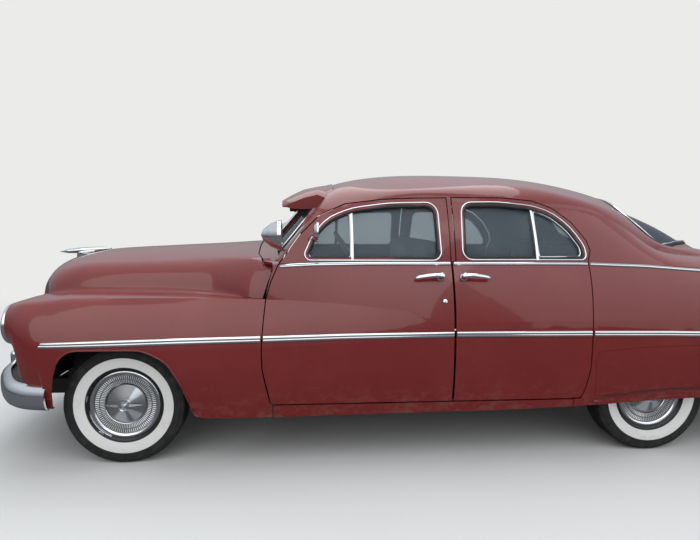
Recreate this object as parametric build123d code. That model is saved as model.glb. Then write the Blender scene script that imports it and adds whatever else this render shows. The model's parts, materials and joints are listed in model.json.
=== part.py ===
from build123d import *
import math
import os

# A four-door 1950s saloon, all sizes in millimetres.
# Frame: the nose points to -X, the car's left side is -Y, +Z is up,
# and the origin is under the middle of the car, on the ground.

# Driving sizes
LENGTH = 5253
WIDTH = 1953
HEIGHT = 1646
WHEELBASE = 2997
FRONT_OVERHANG = 850
FRONT_TRACK = 1486
REAR_TRACK = 1524
TYRE_RADIUS = 325
TYRE_WIDTH = 168
RIM_RADIUS = 205
GAP = 6            # shut line round a panel that moves
BOOT_FLOOR_TOP = 575    # raised middle of the boot floor, on which luggage lies
SKIN = 12          # outer sheet with its folded edge
WALL = 40          # roof and quarter wall
DOOR = 60          # whole door
HOOD_THICK = 18
KINGPIN_Y = 662
OPEN_BELOW = 200   # inner forms reach down here, so that the shell has no bottom

FRONT_AXLE = FRONT_OVERHANG - LENGTH / 2
REAR_AXLE = FRONT_AXLE + WHEELBASE


def place(behind_front_axle):
    """X of a place given by its distance behind the front axle."""
    return FRONT_AXLE + behind_front_axle


# Section tables. Every row is one cross-section, at a distance behind the
# front axle, and the y values are half widths.

# Lower body. The side stands upright at its widest line, so the arcs below and
# above that line follow from the heights and widths, and only the arc from the
# crest inwards has a bulge of its own.
SIDE_COLUMNS = ("at", "bottom_z", "bottom_y", "wide_z", "wide_y", "crest_z", "crest_y",
                "top_bulge", "top_z", "top_y", "crown_z")
# Front fenders, nose to door gap; top is the valley beside the hood.
FENDER_ROWS = (
    (-636, 642, 826, 760, 874, 868, 798, 6, 880, 600, 888),
    (-580, 560, 862, 715, 905, 880, 812, 8, 900, 600, 910),
    (-480, 470, 895, 660, 932, 896, 818, 9, 920, 610, 932),
    (-300, 380, 925, 630, 956, 906, 820, 9, 934, 625, 944),
    (0, 300, 930, 620, 968, 914, 826, 9, 938, 645, 950),
    (400, 285, 930, 620, 970, 918, 846, 8, 925, 690, 940),
    (700, 280, 930, 620, 970, 912, 878, 2, 916, 860, 935),
)
# Sides from the cowl back; top is the belt. The fender's crest flows through
# the front door and ends in a dip.
FRONT_SIDE_ROWS = (
    (700, 280, 930, 620, 970, 912, 878, 4, 1090, 848, 1170),
    (955, 284, 930, 620, 970, 907, 897, 4, 1104, 854, 1150),
    (1300, 288, 930, 620, 970, 880, 924, 8, 1108, 856, 1140),
    (1540, 290, 930, 620, 970, 854, 942, 12, 1110, 856, 1140),
    (1640, 291, 930, 620, 970, 803, 957, 15, 1111, 856, 1140),
    (1786, 293, 930, 620, 970, 795, 960, 16, 1112, 856, 1140),
)
REAR_SIDE_ROWS = (
    (1786, 293, 930, 620, 970, 795, 960, 16, 1112, 856, 1140),
    (2500, 307, 930, 620, 970, 795, 961, 16, 1112, 856, 1140),
    (3000, 335, 930, 620, 970, 793, 960, 18, 1090, 853, 1140),
    (3450, 350, 925, 620, 965, 788, 953, 22, 1055, 836, 1142),
    (3850, 370, 895, 615, 940, 775, 922, 26, 1012, 780, 1110),
    (4120, 400, 830, 600, 880, 750, 855, 26, 935, 690, 1010),
    (4290, 470, 690, 590, 760, 690, 735, 16, 790, 560, 810),
)

# Hood and cowl bulge.
HOOD_COLUMNS = ("at", "base_z", "base_y", "valley_z", "valley_y", "shoulder_z", "shoulder_y", "crown_z")
HOOD_ROWS = (
    (-662, 560, 420, 700, 400, 850, 210, 905),
    (-600, 560, 520, 800, 500, 975, 300, 1030),
    (-480, 560, 590, 890, 572, 1050, 390, 1098),
    (-300, 560, 625, 928, 606, 1078, 440, 1135),
    (100, 560, 660, 936, 645, 1094, 480, 1160),
    (450, 560, 735, 926, 712, 1110, 540, 1178),
    (700, 560, 850, 914, 838, 1118, 690, 1194),
    (880, 560, 880, 912, 872, 1126, 740, 1204),
)

# Roof and window frames.
ROOF_COLUMNS = ("at", "base_z", "base_y", "belt_z", "belt_y", "rail_z", "rail_y", "edge_z", "edge_y", "crown_z")
ROOF_ROWS = (
    (700, 900, 850, 1104, 850, 1330, 760, 1420, 610, 1470),
    (1060, 900, 852, 1106, 852, 1372, 750, 1468, 606, 1538),
    (1394, 900, 854, 1108, 854, 1418, 737, 1528, 604, 1626),
    (1998, 900, 854, 1110, 854, 1436, 732, 1556, 600, 1646),
    (2362, 900, 854, 1110, 854, 1420, 732, 1540, 590, 1632),
    (2807, 900, 853, 1100, 852, 1336, 704, 1446, 540, 1562),
    (2960, 900, 851, 1094, 849, 1240, 704, 1390, 510, 1520),
    (3112, 900, 848, 1088, 846, 1172, 664, 1240, 564, 1464),
    (3420, 900, 830, 1062, 826, 1130, 644, 1175, 460, 1338),
    (3600, 900, 806, 1044, 802, 1102, 630, 1140, 370, 1236),
    (3750, 900, 780, 1024, 772, 1074, 630, 1102, 370, 1143),
    (3900, 900, 740, 990, 730, 1035, 600, 1060, 360, 1092),
)

# Windscreen: two flat panes that meet in a shallow V.
SCREEN_BASE_SIDE = (838, 690, 1155)
SCREEN_BASE_MIDDLE = (760, 0, 1195)
SCREEN_TOP_SIDE = (1090, 600, 1468)


def bulged(start, end, bulge):
    """Arc from start to end that stands out by bulge, to the left of its chord seen along +X."""
    a, b = Vector(*start), Vector(*end)
    chord = b - a
    out = Vector(0, chord.Z, -chord.Y).normalized()
    return Edge.make_three_point_arc(a, (a + b) * 0.5 + out * bulge, b)


def section(x, half, bulges, crown_z):
    """Closed cross-section at x: a half outline going up, mirrored, under a crown arc."""
    right = [(x, y, z) for y, z in half]
    left = [(x, -y, z) for y, z in half]
    edges = [bulged(right[i], right[i + 1], bulges[i]) for i in range(len(right) - 1)]
    edges.append(Edge.make_three_point_arc(Vector(*right[-1]), Vector(x, 0, crown_z), Vector(*left[-1])))
    for i in reversed(range(len(left) - 1)):
        a, b = Vector(*left[i + 1]), Vector(*left[i])
        chord = b - a
        out = Vector(0, chord.Z, -chord.Y).normalized()
        edges.append(Edge.make_three_point_arc(a, (a + b) * 0.5 + out * bulges[i], b))
    edges.append(Edge.make_line(Vector(*left[0]), Vector(*right[0])))
    return Wire(edges)


def upright_bulge(low, high):
    """Bulge that makes an arc between two (y, z) points stand upright at its widest end."""
    run, rise = abs(high[0] - low[0]), abs(high[1] - low[1])
    return max(0.25 * math.hypot(run, rise) * math.atan2(run, rise), 0.5)


def side_loft(rows, inset, first_in=0.0, last_in=0.0):
    """Lower body: bottom, widest line, crest and belt (or valley) joined by arcs."""
    wires = []
    for i, (at, bz, by, wz, wy, cz, cy, top_bulge, tz, ty, crown) in enumerate(rows):
        if i == 0:
            at += first_in
        if i == len(rows) - 1:
            at -= last_in
        bottom = (by - inset, bz if inset == 0 else OPEN_BELOW)
        wide = (wy - inset, wz)
        crest = (cy - 0.85 * inset, cz - 0.55 * inset)
        top = (ty - 0.8 * inset, tz - inset)
        bulges = (upright_bulge(bottom, wide), upright_bulge(wide, crest), top_bulge)
        wires.append(section(place(at), (bottom, wide, crest, top), bulges, crown - inset))
    return Solid.make_loft(wires)


def hood_loft(inset):
    wires = []
    for i, (at, bz, by, vz, vy, sz, sy, crown) in enumerate(HOOD_ROWS):
        if i == 0:
            at += inset
        half = ((by - inset, bz), (vy - inset, vz - 0.3 * inset), (sy - 0.5 * inset, sz - 0.85 * inset))
        wires.append(section(place(at), half, (0.5, 26), crown - inset))
    return Solid.make_loft(wires)


def roof_loft(inset):
    wires = []
    for at, bz, by, tz, ty, rz, ry, ez, ey, crown in ROOF_ROWS:
        half = ((by - inset, bz), (ty - inset, tz), (ry - 0.93 * inset, rz - 0.35 * inset),
                (ey - 0.5 * inset, ez - 0.85 * inset))
        wires.append(section(place(at), half, (0.5, 14, 22), crown - inset))
    return Solid.make_loft(wires)


def screen_plane(side, back):
    """Plane of one windscreen pane, its normal forward and up, moved back by a distance."""
    base = Vector(place(SCREEN_BASE_SIDE[0]), side * SCREEN_BASE_SIDE[1], SCREEN_BASE_SIDE[2])
    middle = Vector(place(SCREEN_BASE_MIDDLE[0]), 0, SCREEN_BASE_MIDDLE[2])
    top = Vector(place(SCREEN_TOP_SIDE[0]), side * SCREEN_TOP_SIDE[1], SCREEN_TOP_SIDE[2])
    normal = (base - middle).cross(top - middle).normalized()
    if normal.X > 0:
        normal = normal * -1
    along = (top - base).normalized()
    return Plane(origin=middle - normal * back, x_dir=along, z_dir=normal)


def screen_wedge(back):
    """What lies in front of the windscreen's two planes, to be cut from the roof form."""
    halves = []
    for side in (-1, 1):
        plane = screen_plane(side, back)
        slab = extrude(plane * Rectangle(3000, 3000), 1200)
        half = Pos(place(900), side * 1000, 1200) * Box(3000, 2000, 3000)
        halves.append(slab & half)
    return halves[0] + halves[1]


def block(a0, a1, y0, y1, z0, z1):
    """Box between two distances behind the front axle, two widths and two heights."""
    return Pos(place((a0 + a1) / 2), (y0 + y1) / 2, (z0 + z1) / 2) * Box(a1 - a0, y1 - y0, z1 - z0)


def rod(p, q, radius):
    """Round bar from p to q, each (distance behind the front axle, y, z)."""
    a = Vector(place(p[0]), p[1], p[2])
    b = Vector(place(q[0]), q[1], q[2])
    return Solid.make_cylinder(radius, (b - a).length, Plane(origin=a, z_dir=(b - a)))


def largest(shape):
    """The biggest solid of a shape, without the slivers that a cut can leave."""
    return max(shape.solids(), key=lambda solid: solid.volume)


def both(shape):
    """A piece and its mirror image on the other side of the car."""
    return shape + shape.mirror(Plane.XZ)


def joined(pieces):
    """All pieces fused into one form."""
    form = pieces[0]
    for piece in pieces[1:]:
        form = form + piece
    return form


def front_form(inset):
    """Fenders, hood and the start of the cabin sides, moved inwards by a distance."""
    return joined([side_loft(FENDER_ROWS[:4], inset, first_in=inset), side_loft(FENDER_ROWS[3:], inset),
                   side_loft(FRONT_SIDE_ROWS[:4], inset), hood_loft(inset)])


def cabin_form(inset):
    """Sides beside the doors, with the roof."""
    return joined([side_loft(FRONT_SIDE_ROWS[:4], inset), side_loft(FRONT_SIDE_ROWS[3:], inset),
                   side_loft(REAR_SIDE_ROWS[:3], inset), roof_loft(inset) - screen_wedge(inset)])


def rear_form(inset):
    """Rear sides, deck and tail, with the roof."""
    return joined([side_loft(REAR_SIDE_ROWS[:3], inset), side_loft(REAR_SIDE_ROWS[2:5], inset),
                   side_loft(REAR_SIDE_ROWS[4:], inset, last_in=inset), roof_loft(inset)])


# Shut lines in side view: (distance behind the front axle, height).
FRONT_DOOR_LINE = ((812, 356), (796, 368), (757, 552), (753, 640), (756, 725), (772, 915),
                   (800, 1010), (837, 1096), (954, 1258), (1064, 1368), (1204, 1430), (1406, 1456),
                   (1600, 1466), (1783, 1469), (1783, 356))
REAR_DOOR_LINE = ((1789, 356), (1789, 1110), (1811, 1118), (1811, 1470), (2105, 1472),
                  (2285, 1456), (2398, 1416), (2501, 1336), (2574, 1234), (2590, 1178), (2570, 1112),
                  (2566, 1014), (2558, 855), (2555, 721), (2552, 523), (2533, 416), (2515, 356))
# Side windows: the outer line of each surround, as (distance behind the front axle,
# height, corner radius). The opening in the door is smaller by WINDOW_INSET.
FRONT_WINDOW = ((966, 1123, 30), (1038, 1280, 260), (1122, 1354, 240), (1244, 1402, 420), (1450, 1430, 900),
                (1722, 1438, 62), (1728, 1123, 45))
REAR_WINDOW = ((1852, 1127, 52), (1866, 1438, 60), (2080, 1443, 900), (2290, 1422, 420), (2400, 1380, 260),
               (2490, 1298, 300), (2558, 1190, 130), (2556, 1127, 26))
WINDOW_INSET = 9
VALLEY_LINE = ((-700, 690), (-662, 700), (-600, 800), (-480, 890), (-300, 928), (100, 936), (450, 926),
               (700, 914), (752, 912), (780, 1000), (803, 1062))
# Front wheel opening, with corner radii; it is flat on top.
ARCH_LINE = ((-300, 150, 0), (-270, 440, 300), (-236, 600, 150), (-150, 682, 150), (-60, 696, 200),
             (165, 693, 200), (262, 652, 200), (345, 545, 300), (400, 400, 300), (450, 330, 60), (520, 305, 40),
             (520, 150, 0))
SKIRT_LINE = ((2600, 340), (2580, 582), (2600, 626), (2824, 645), (3174, 655), (3350, 640), (3395, 600),
              (3400, 345), (3280, 376), (3080, 388), (2800, 372))
ROCKER_TOP = 350
BELT = 1112
FAR = 1200


def grown(outline, amount):
    """Side-view face of an outline, grown (or shrunk) by an amount."""
    points = [Vector(place(a), 0, z) for a, z in outline]
    face = Face(Wire.make_polygon(points, close=True))
    return offset(face, amount, kind=Kind.INTERSECTION) if amount else face


def side_cut(outline, amount=0.0, near=-FAR, far=FAR):
    """Side-view outline, grown by an amount, as a solid from near to far across the car."""
    face = grown(outline, amount)
    return Pos(0, near, 0) * extrude(face, far - near, dir=(0, 1, 0))


def above_line(line, lift):
    """Everything above a side-view line, moved up by a lift."""
    outline = [(a, z + lift) for a, z in line] + [(line[-1][0], 2000), (line[0][0], 2000)]
    return side_cut(outline)


def rounded(corners):
    """Face of a side-view outline whose corners (distance, height, radius) are turned into arcs."""
    count = len(corners)
    points = [Vector(place(a), 0, z) for a, z, _ in corners]
    cuts = []
    for i, (here, (_, _, radius)) in enumerate(zip(points, corners)):
        before = (points[i - 1] - here)
        after = (points[(i + 1) % count] - here)
        half = math.radians(before.get_angle(after)) / 2
        back = max(min(radius / math.tan(half), 0.48 * before.length, 0.48 * after.length), 0.5)
        start, end = here + before.normalized() * back, here + after.normalized() * back
        turn_radius = back * math.tan(half)
        middle = (start + end) * 0.5
        toward = (here - middle).normalized()
        rise = turn_radius - math.sqrt(max(turn_radius ** 2 - (end - start).length ** 2 / 4, 0))
        cuts.append((start, middle + toward * rise, end))
    edges = []
    for i, (start, top, end) in enumerate(cuts):
        edges.append(Edge.make_three_point_arc(start, top, end))
        edges.append(Edge.make_line(end, cuts[(i + 1) % count][0]))
    return Face(Wire(edges))


def window_cut(window):
    """A side window's opening through the left side of the car."""
    face = offset(rounded(window), -WINDOW_INSET)
    return Pos(0, -FAR, 0) * extrude(face, FAR, dir=(0, 1, 0))


LEFT_HALF = block(-1000, 4600, -FAR, 0, 0, 2000)


class Body:
    """The body's shells, left halves only, one for each depth that a panel needs."""

    def __init__(self):
        cabin, cabin_skin_in, door_in = cabin_form(0), cabin_form(SKIN), cabin_form(DOOR)
        rear = rear_form(0)
        self.rear = rear
        self.front_skin = (front_form(0) - front_form(SKIN)) & LEFT_HALF
        self.skin = (cabin - cabin_skin_in) & LEFT_HALF
        self.core = (cabin_skin_in - door_in) & LEFT_HALF
        self.wall = (cabin - cabin_form(WALL)) & LEFT_HALF
        self.rear_wall = (rear - rear_form(WALL)) & LEFT_HALF
        self.rear_skin = (rear - rear_form(SKIN)) & LEFT_HALF


def door(body, line, window):
    """Left door: its outer sheet runs to the shut line, its thick inner part stops short of it."""
    sheet = body.skin & side_cut(line, -GAP / 2, -FAR, -640)
    inner = body.core & side_cut(line, -GAP / 2 - 18, -FAR, -655)
    if line is FRONT_DOOR_LINE:
        inner = inner - block(700, 1000, -775, -600, 300, 1140)
    return sheet + inner - window_cut(window)


def pane(body, window, depth=26, thickness=5):
    """Flat-curved glass that fills a side window, a little inside the door's outer sheet."""
    outer = roof_loft(depth) - roof_loft(depth + thickness)
    return outer & window_cut(window) & block(-1000, 4600, -FAR, -600, 0, 2000)


def door_cut(line):
    return side_cut(line, GAP / 2, -FAR, -600)


def arch_cut():
    """The front wheel opening through the left fender."""
    return Pos(0, -FAR, 0) * extrude(rounded(ARCH_LINE), FAR - 600, dir=(0, 1, 0))


def hood():
    """Hood panel with its stiffened rim, to the valley beside the fenders and to the cowl."""
    form = hood_loft(0) - hood_loft(HOOD_THICK)
    front = block(-700, 900, -FAR, FAR, 0, 2000)
    panel = form & front & above_line(VALLEY_LINE, GAP / 2)
    return panel - hood_rear_cut(-GAP / 2)


def hood_rear_cut(ahead):
    """What lies behind the hood's rear edge, which runs forward to the middle."""
    outline = ((742, -900), (806, -858), (800, -800), (752, -760), (712, -600), (700, -300), (697, 0),
               (700, 300), (712, 600), (752, 760), (800, 800), (806, 858), (742, 900), (1500, 900), (1500, -900))
    points = [Vector(place(a + ahead), y, 0) for a, y in outline]
    return extrude(Face(Wire.make_polygon(points, close=True)), 2000, dir=(0, 0, 1))


def plan_cut(outline, z0, z1):
    """Plan-view outline of (distance behind the front axle, y), from z0 up to z1."""
    points = [Vector(place(a), y, z0) for a, y in outline]
    return extrude(Face(Wire.make_polygon(points, close=True)), z1 - z0, dir=(0, 0, 1))


def bar(profile, y0, y1):
    """Side-view outline pushed across the car between y0 and y1."""
    return side_cut(profile, 0, y0, y1)


def screen_point(side, across, up):
    """Point on a windscreen pane: across is 0 in the middle and 1 at the side, up is 0 at the base."""
    middle, base, top = SCREEN_BASE_MIDDLE, SCREEN_BASE_SIDE, SCREEN_TOP_SIDE
    plane = screen_plane(side, 0)
    y = side * across * (base[1] + (top[1] - base[1]) * up)
    z = (middle[2] + (base[2] - middle[2]) * across) * (1 - up) + (1532 + (top[2] - 1532) * across) * up
    n, o = plane.z_dir, plane.origin
    x = o.X - (n.Y * (y - o.Y) + n.Z * (z - o.Z)) / n.X
    return Vector(x, y, z)


def screen_opening(side, depth0, depth1, margin):
    """One pane's outline as a solid between two depths behind its outer plane."""
    plane = screen_plane(side, 0)
    near, far = margin / 640, 1 - margin / 640
    low, high = 1.3 * margin / 400, 1 - margin / 400
    corners = [screen_point(side, near, low), screen_point(side, far, low),
               screen_point(side, far, high), screen_point(side, near, high)]
    face = Face(Wire.make_polygon([c - plane.z_dir * depth1 for c in corners], close=True))
    return extrude(face, depth1 - depth0, dir=plane.z_dir)


def windshield():
    panes = [screen_opening(side, 14, 20, 30) for side in (-1, 1)]
    return panes[0] + panes[1]


REAR_WINDOW_PLAN = ((3012, 0), (3006, -200), (2984, -340), (2968, -450), (2982, -525), (3015, -565),
                    (3070, -585), (3135, -575), (3205, -550), (3289, -505), (3357, -455), (3450, -385),
                    (3560, -265), (3630, -140), (3652, 0))


def rear_glass_cut():
    left = plan_cut(REAR_WINDOW_PLAN, 1000, 1700)
    return left + left.mirror(Plane.XZ)


def rear_window():
    return (roof_loft(16) - roof_loft(22)) & rear_glass_cut() & block(2900, 3700, -FAR, FAR, 1120, 1700)


LID_PLAN = ((3712, 0), (3708, -200), (3700, -400), (3712, -480), (3760, -545), (3900, -560), (4400, -540), (4400, 0))


def lid_cut(amount, z0=610):
    left = offset(Face(Wire.make_polygon([Vector(place(a), y, z0 - amount) for a, y in LID_PLAN + ((4400, 200), (3712, 200))],
                                         close=True)), amount, kind=Kind.INTERSECTION)
    left = extrude(left, 1200, dir=(0, 0, 1)) & block(3000, 4600, -FAR, 0, 0, 2000)
    return left + left.mirror(Plane.XZ)


def panels(body):
    """Fixed body panels and the trunk lid."""
    nodes = {}
    hood_top = above_line(VALLEY_LINE, -GAP / 2) & block(-900, 900, -FAR, 0, 0, 2000)
    hood_top = hood_top - hood_rear_cut(GAP / 2)
    ahead = (body.front_skin & block(-900, 822, -FAR, 0, 0, 1000)) - hood_top - door_cut(FRONT_DOOR_LINE)
    ahead = ahead - block(690, 900, -FAR, 0, 912, 1300) - block(809, 900, -FAR, 0, 0, 352)
    ahead = ahead - rod((-900, -745, 768), (-560, -745, 768), 112)
    fender = (ahead & block(-900, 900, -FAR, -560, 0, 1100)) - arch_cut()
    nodes["front_fenders"] = both(largest(fender))
    nose = (ahead & block(-900, -300, -560, 0, 0, 1100)) - block(-900, -590, -530, 0, 500, 690)
    nodes["nose_panel"] = both(largest(nose))
    cowl = (body.front_skin & block(690, 950, -FAR, 0, 912, 1260)) & hood_rear_cut(GAP / 2)
    above_cowl = side_cut(((690, 1500), (690, 1206), (765, 1206), (835, 1168), (835, 1109), (960, 1109), (960, 1500)))
    nodes["cowl"] = both(largest(cowl - door_cut(FRONT_DOOR_LINE) - above_cowl))
    upper = body.wall & block(838, 3560, -FAR, 0, 1112, 2000)
    upper = upper - door_cut(FRONT_DOOR_LINE) - door_cut(REAR_DOOR_LINE)
    nodes["roof"] = both(upper - screen_opening(-1, -60, 120, 26) - rear_glass_cut())
    deck = block(2480, 4400, -FAR, 0, 200, 1112) + block(3560, 4400, -FAR, 0, 1100, 1300)
    behind = (body.rear_wall & deck) - door_cut(REAR_DOOR_LINE)
    behind = behind - lid_cut(GAP / 2) - rear_glass_cut() - side_cut(SKIRT_LINE, 1.5, -FAR, -700)
    nodes["quarter_panels"] = both(largest(behind))
    nodes["trunk_lid"] = both(body.rear_skin & lid_cut(-GAP / 2))
    nodes["rockers"] = both(body.wall & block(815, 2476, -FAR, 0, 200, ROCKER_TOP))
    nodes["tail_lamps"] = tail_lamps() - body.rear
    nodes["fender_skirts"] = both(body.rear_skin & side_cut(SKIRT_LINE, 0, -FAR, -700))
    return nodes


def turned(profile, center, axis=(0, 1, 0)):
    """Ring turned from (radius, along-axis) points round an axis through a centre in world millimetres."""
    plane = Plane(origin=Vector(*center), z_dir=Vector(*axis))
    face = Plane.XZ * Face(Wire.make_polygon([Vector(r, h, 0) for r, h in profile], close=True))
    return plane.location * revolve(face, Axis.Z)


# Tyre section as (radius, distance from the middle of the tread), outer half.
TYRE_SECTION = ((TYRE_RADIUS, 0), (TYRE_RADIUS - 2, 46), (TYRE_RADIUS - 12, 62), (TYRE_RADIUS - 48, 82),
                (TYRE_RADIUS - 78, 82), (RIM_RADIUS + 5, 73), (RIM_RADIUS - 14, 58), (RIM_RADIUS - 14, 52))
# Rim section, outer face to inner face.
RIM_SECTION = ((RIM_RADIUS - 1, 70), (RIM_RADIUS - 16, 60), (RIM_RADIUS - 16, 44), (RIM_RADIUS - 40, 20),
               (RIM_RADIUS - 40, -40), (RIM_RADIUS - 16, -60), (RIM_RADIUS - 1, -70), (RIM_RADIUS - 8, -72),
               (RIM_RADIUS - 24, -63), (RIM_RADIUS - 48, -42), (RIM_RADIUS - 48, 14), (60, 24), (60, 32),
               (RIM_RADIUS - 44, 24), (RIM_RADIUS - 24, 50), (RIM_RADIUS - 22, 66))
# Wheel cover section: domed disc with a raised hub.
COVER_SECTION = ((0, 92), (26, 90), (40, 78), (46, 66), (90, 54), (128, 60), (150, 64), (176, 62), (196, 72),
                 (200, 70), (178, 56), (128, 50), (60, 46), (0, 46))


def tyre(at, y):
    side = 1 if y > 0 else -1
    outer = [(r, side * h) for r, h in TYRE_SECTION]
    inner = [(r, -side * h) for r, h in reversed(TYRE_SECTION)]
    return turned(outer + inner[:-1], (place(at), y, TYRE_RADIUS))


def wheel(at, y):
    side = 1 if y > 0 else -1
    rim = turned([(r, side * h) for r, h in RIM_SECTION], (place(at), y, TYRE_RADIUS))
    cover = turned([(r, side * h) for r, h in COVER_SECTION], (place(at), y, TYRE_RADIUS))
    return rim + cover


def knuckle(side):
    """Steering knuckle: upright, stub axle, brake drum and steering arm."""
    y = side * KINGPIN_Y
    upright = rod((0, y, 225), (0, y, 425), 26)
    stub = rod((0, y, TYRE_RADIUS), (0, side * (FRONT_TRACK / 2 + 18), TYRE_RADIUS), 22)
    drum = rod((0, side * (KINGPIN_Y + 34), TYRE_RADIUS), (0, side * (KINGPIN_Y + 92), TYRE_RADIUS), 138)
    arm = bar(((0, 250), (150, 250), (150, 270), (0, 270)), y - 14, y + 14)
    return upright + stub + drum + arm


def front_suspension():
    """Wishbones on their pivots, with the plate that bolts them to the frame rail, left and right."""
    inner, outer = 460, KINGPIN_Y - 44
    piece = block(-50, 50, RAIL_OUT, RAIL_OUT + 24, 236, 424)
    for z, half in ((250, 110), (405, 80)):
        for end in (-half, half):
            piece = piece + rod((end, inner, z), (math.copysign(8, end), outer, z - 5), 13)
        piece = piece + rod((0, outer - 30, z - 5), (0, outer + 14, z - 5), 20)
    piece = piece + rod((-120, inner, 405), (120, inner, 405), 14) + rod((-130, inner, 250), (130, inner, 250), 14)
    return both(piece)


def rear_axle():
    """Axle tube, differential, propeller shaft and leaf springs."""
    tube = rod((WHEELBASE, -690, TYRE_RADIUS), (WHEELBASE, 690, TYRE_RADIUS), 42)
    bulb = Pos(place(WHEELBASE), 0, TYRE_RADIUS) * Sphere(128)
    shaft = rod((1186, 0, 420), (WHEELBASE - 60, 0, 335), 32)
    piece = tube + bulb + shaft
    for side in (-1, 1):
        y = side * 520
        band = side_cut(((2440, 318), (2700, 268), (2960, 252), (3034, 252), (3300, 272), (3560, 322),
                         (3560, 300), (3300, 248), (3034, 226), (2960, 226), (2700, 244), (2440, 296)),
                        0, y - 30, y + 30)
        pad = block(2940, 3054, y - 40, y + 40, 250, 300)
        drum = rod((WHEELBASE, side * 640, TYRE_RADIUS), (WHEELBASE, side * 708, TYRE_RADIUS), 138)
        piece = piece + band + pad + drum
    return piece


# Side rails of the frame, as half widths.
RAIL_IN = 372
RAIL_OUT = 440
CROSS_COLUMNS = ("from", "to", "low_z", "high_z")
CROSS_MEMBERS = (
    (-540, -470, 285, 365),
    (-90, 90, 232, 326),
    (900, 980, 232, 296),
    (1760, 1840, 232, 296),
    (2500, 2560, 246, 300),
    (3480, 3540, 336, 404),
    (4070, 4130, 336, 404),
)


def chassis_frame():
    """Ladder frame: two side rails that kick up over the axle, cross-members and spring pins."""
    line = ((-560, 280), (-260, 280), (-120, 228), (2480, 228), (2760, 430), (3240, 430), (3440, 330),
            (4130, 330), (4130, 410), (3460, 410), (3260, 520), (2730, 520), (2480, 326), (-100, 326),
            (-240, 370), (-560, 370))
    side = side_cut(line, 0, RAIL_IN, RAIL_OUT) + block(3530, 3590, RAIL_IN, RAIL_OUT, 296, 340)
    for a in (2440, 3560):
        side = side + rod((a, RAIL_IN + 8, 309), (a, 486, 309), 10)
    frame = both(side)
    for a0, a1, z0, z1 in CROSS_MEMBERS:
        frame = frame + block(a0, a1, -RAIL_IN - 8, RAIL_IN + 8, z0, z1)
    return frame


def engine_block():
    engine = block(-170, 520, -240, 240, 345, 900)
    gearbox = block(520, 1180, -120, 120, 345, 545)
    return engine + gearbox


def radiator():
    return block(-440, -370, -310, 310, 372, 880)


def fender_aprons():
    """Inner walls of the front wheel arches."""
    side = bar(((-440, 376), (-145, 376), (-145, 445), (145, 445), (145, 376), (712, 376), (712, 860),
                (400, 880), (-440, 850)), -476, -468)
    return both(side)


def exhaust():
    """Manifold pipe, silencer and tail pipe."""
    line = [Vector(place(a), -290, z) for a, z in ((560, 300), (800, 196), (1300, 190))]
    path = FilletPolyline(*line, radius=120)
    pipe = sweep(Plane(origin=path @ 0, z_dir=path % 0) * Circle(24), path=path)
    muffler = rod((1060, -290, 190), (1660, -290, 190), 62)
    tail_line = [Vector(place(a), y, z) for a, y, z in
                 ((1640, -290, 190), (2600, -290, 190), (2810, -290, 455), (3230, -290, 470),
                  (3440, -290, 290), (4330, -290, 285))]
    tail_path = FilletPolyline(*tail_line, radius=90)
    tail = sweep(Plane(origin=tail_path @ 0, z_dir=tail_path % 0) * Circle(24), path=tail_path)
    return pipe + muffler + tail


def fuel_tank():
    tank = block(3620, 4040, -340, 340, 415, 545)
    return fillet(tank.edges(), 24)


def floor_pan():
    """Floor, firewall, tunnel, boot floor, wheel houses and parcel shelf."""
    floor = block(730, 2470, -850, 850, 332, 344)
    tunnel = block(730, 1240, -165, 165, 344, 590) - block(700, 1230, -152, 152, 300, 577)
    tunnel = tunnel - block(1220, 1250, -77, 77, 300, 478)
    low_tunnel = block(1230, 2470, -90, 90, 344, 490) - block(1220, 2480, -77, 77, 300, 478)
    floor = floor - block(700, 1230, -152, 152, 300, 400) - block(1220, 2480, -77, 77, 300, 400)
    step = block(2458, 2470, -620, 620, 344, 572) - block(2400, 2500, -77, 77, 300, 478)
    rear = block(2458, 4230, -620, 620, 560, 572) + block(2940, 4160, -540, 540, 570, BOOT_FLOOR_TOP)
    firewall = block(718, 730, -800, 800, 332, 880) + block(718, 730, -680, 680, 870, 1050)
    firewall = firewall - block(700, 740, -152, 152, 300, 577)
    piece = floor + tunnel + low_tunnel + step + rear + firewall
    for side in (-1, 1):
        drum = rod((WHEELBASE, side * 620, 320), (WHEELBASE, side * 900, 320), 392)
        inside = rod((WHEELBASE, side * 632, 320), (WHEELBASE, side * 910, 320), 380)
        house = (drum - inside) & block(2400, 3600, -1000, 1000, 340, 800)
        sill = block(2470, 2612, min(side * 600, side * 640), max(side * 600, side * 640), 332, 572)
        slot = rod((WHEELBASE, side * 600, TYRE_RADIUS), (WHEELBASE, side * 660, TYRE_RADIUS), 66)
        piece = piece + (house - slot) + sill
    shelf = block(2900, 3380, -600, 600, 1060, 1072)
    back = block(2888, 2900, -600, 600, 572, 1072)
    return piece + shelf + back


def center_pillars():
    """Pillars between the doors, from the floor to the roof rail; they step in under the belt."""
    front, back = 1769, 1801
    post = block(front, back, -880, -824, 344, 800) + block(front, back, -852, -824, 800, 1010)
    post = post + block(front, back, -840, -822, 1010, 1070) + block(front, back, -831, -822, 1070, 1112)
    post = post + block(front, back, -830, -760, 344, 420)
    return both(post)


def seat(y_half, cushion, back_foot, back_top, thick):
    """Bench: a cushion and a leaning back; heights and places as pairs."""
    (a0, a1), (z0, z1) = cushion
    base = block(a0, a1, -y_half, y_half, z0, z1)
    base = fillet(base.edges().filter_by(Axis.Y), 45)
    (af, zf), (at, zt) = back_foot, back_top
    back = bar(((af, zf), (at, zt), (at + thick * 0.6, zt), (af + thick, zf)), -y_half, y_half)
    back = fillet(back.edges().filter_by(Axis.Y), 24)
    return base, back


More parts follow.
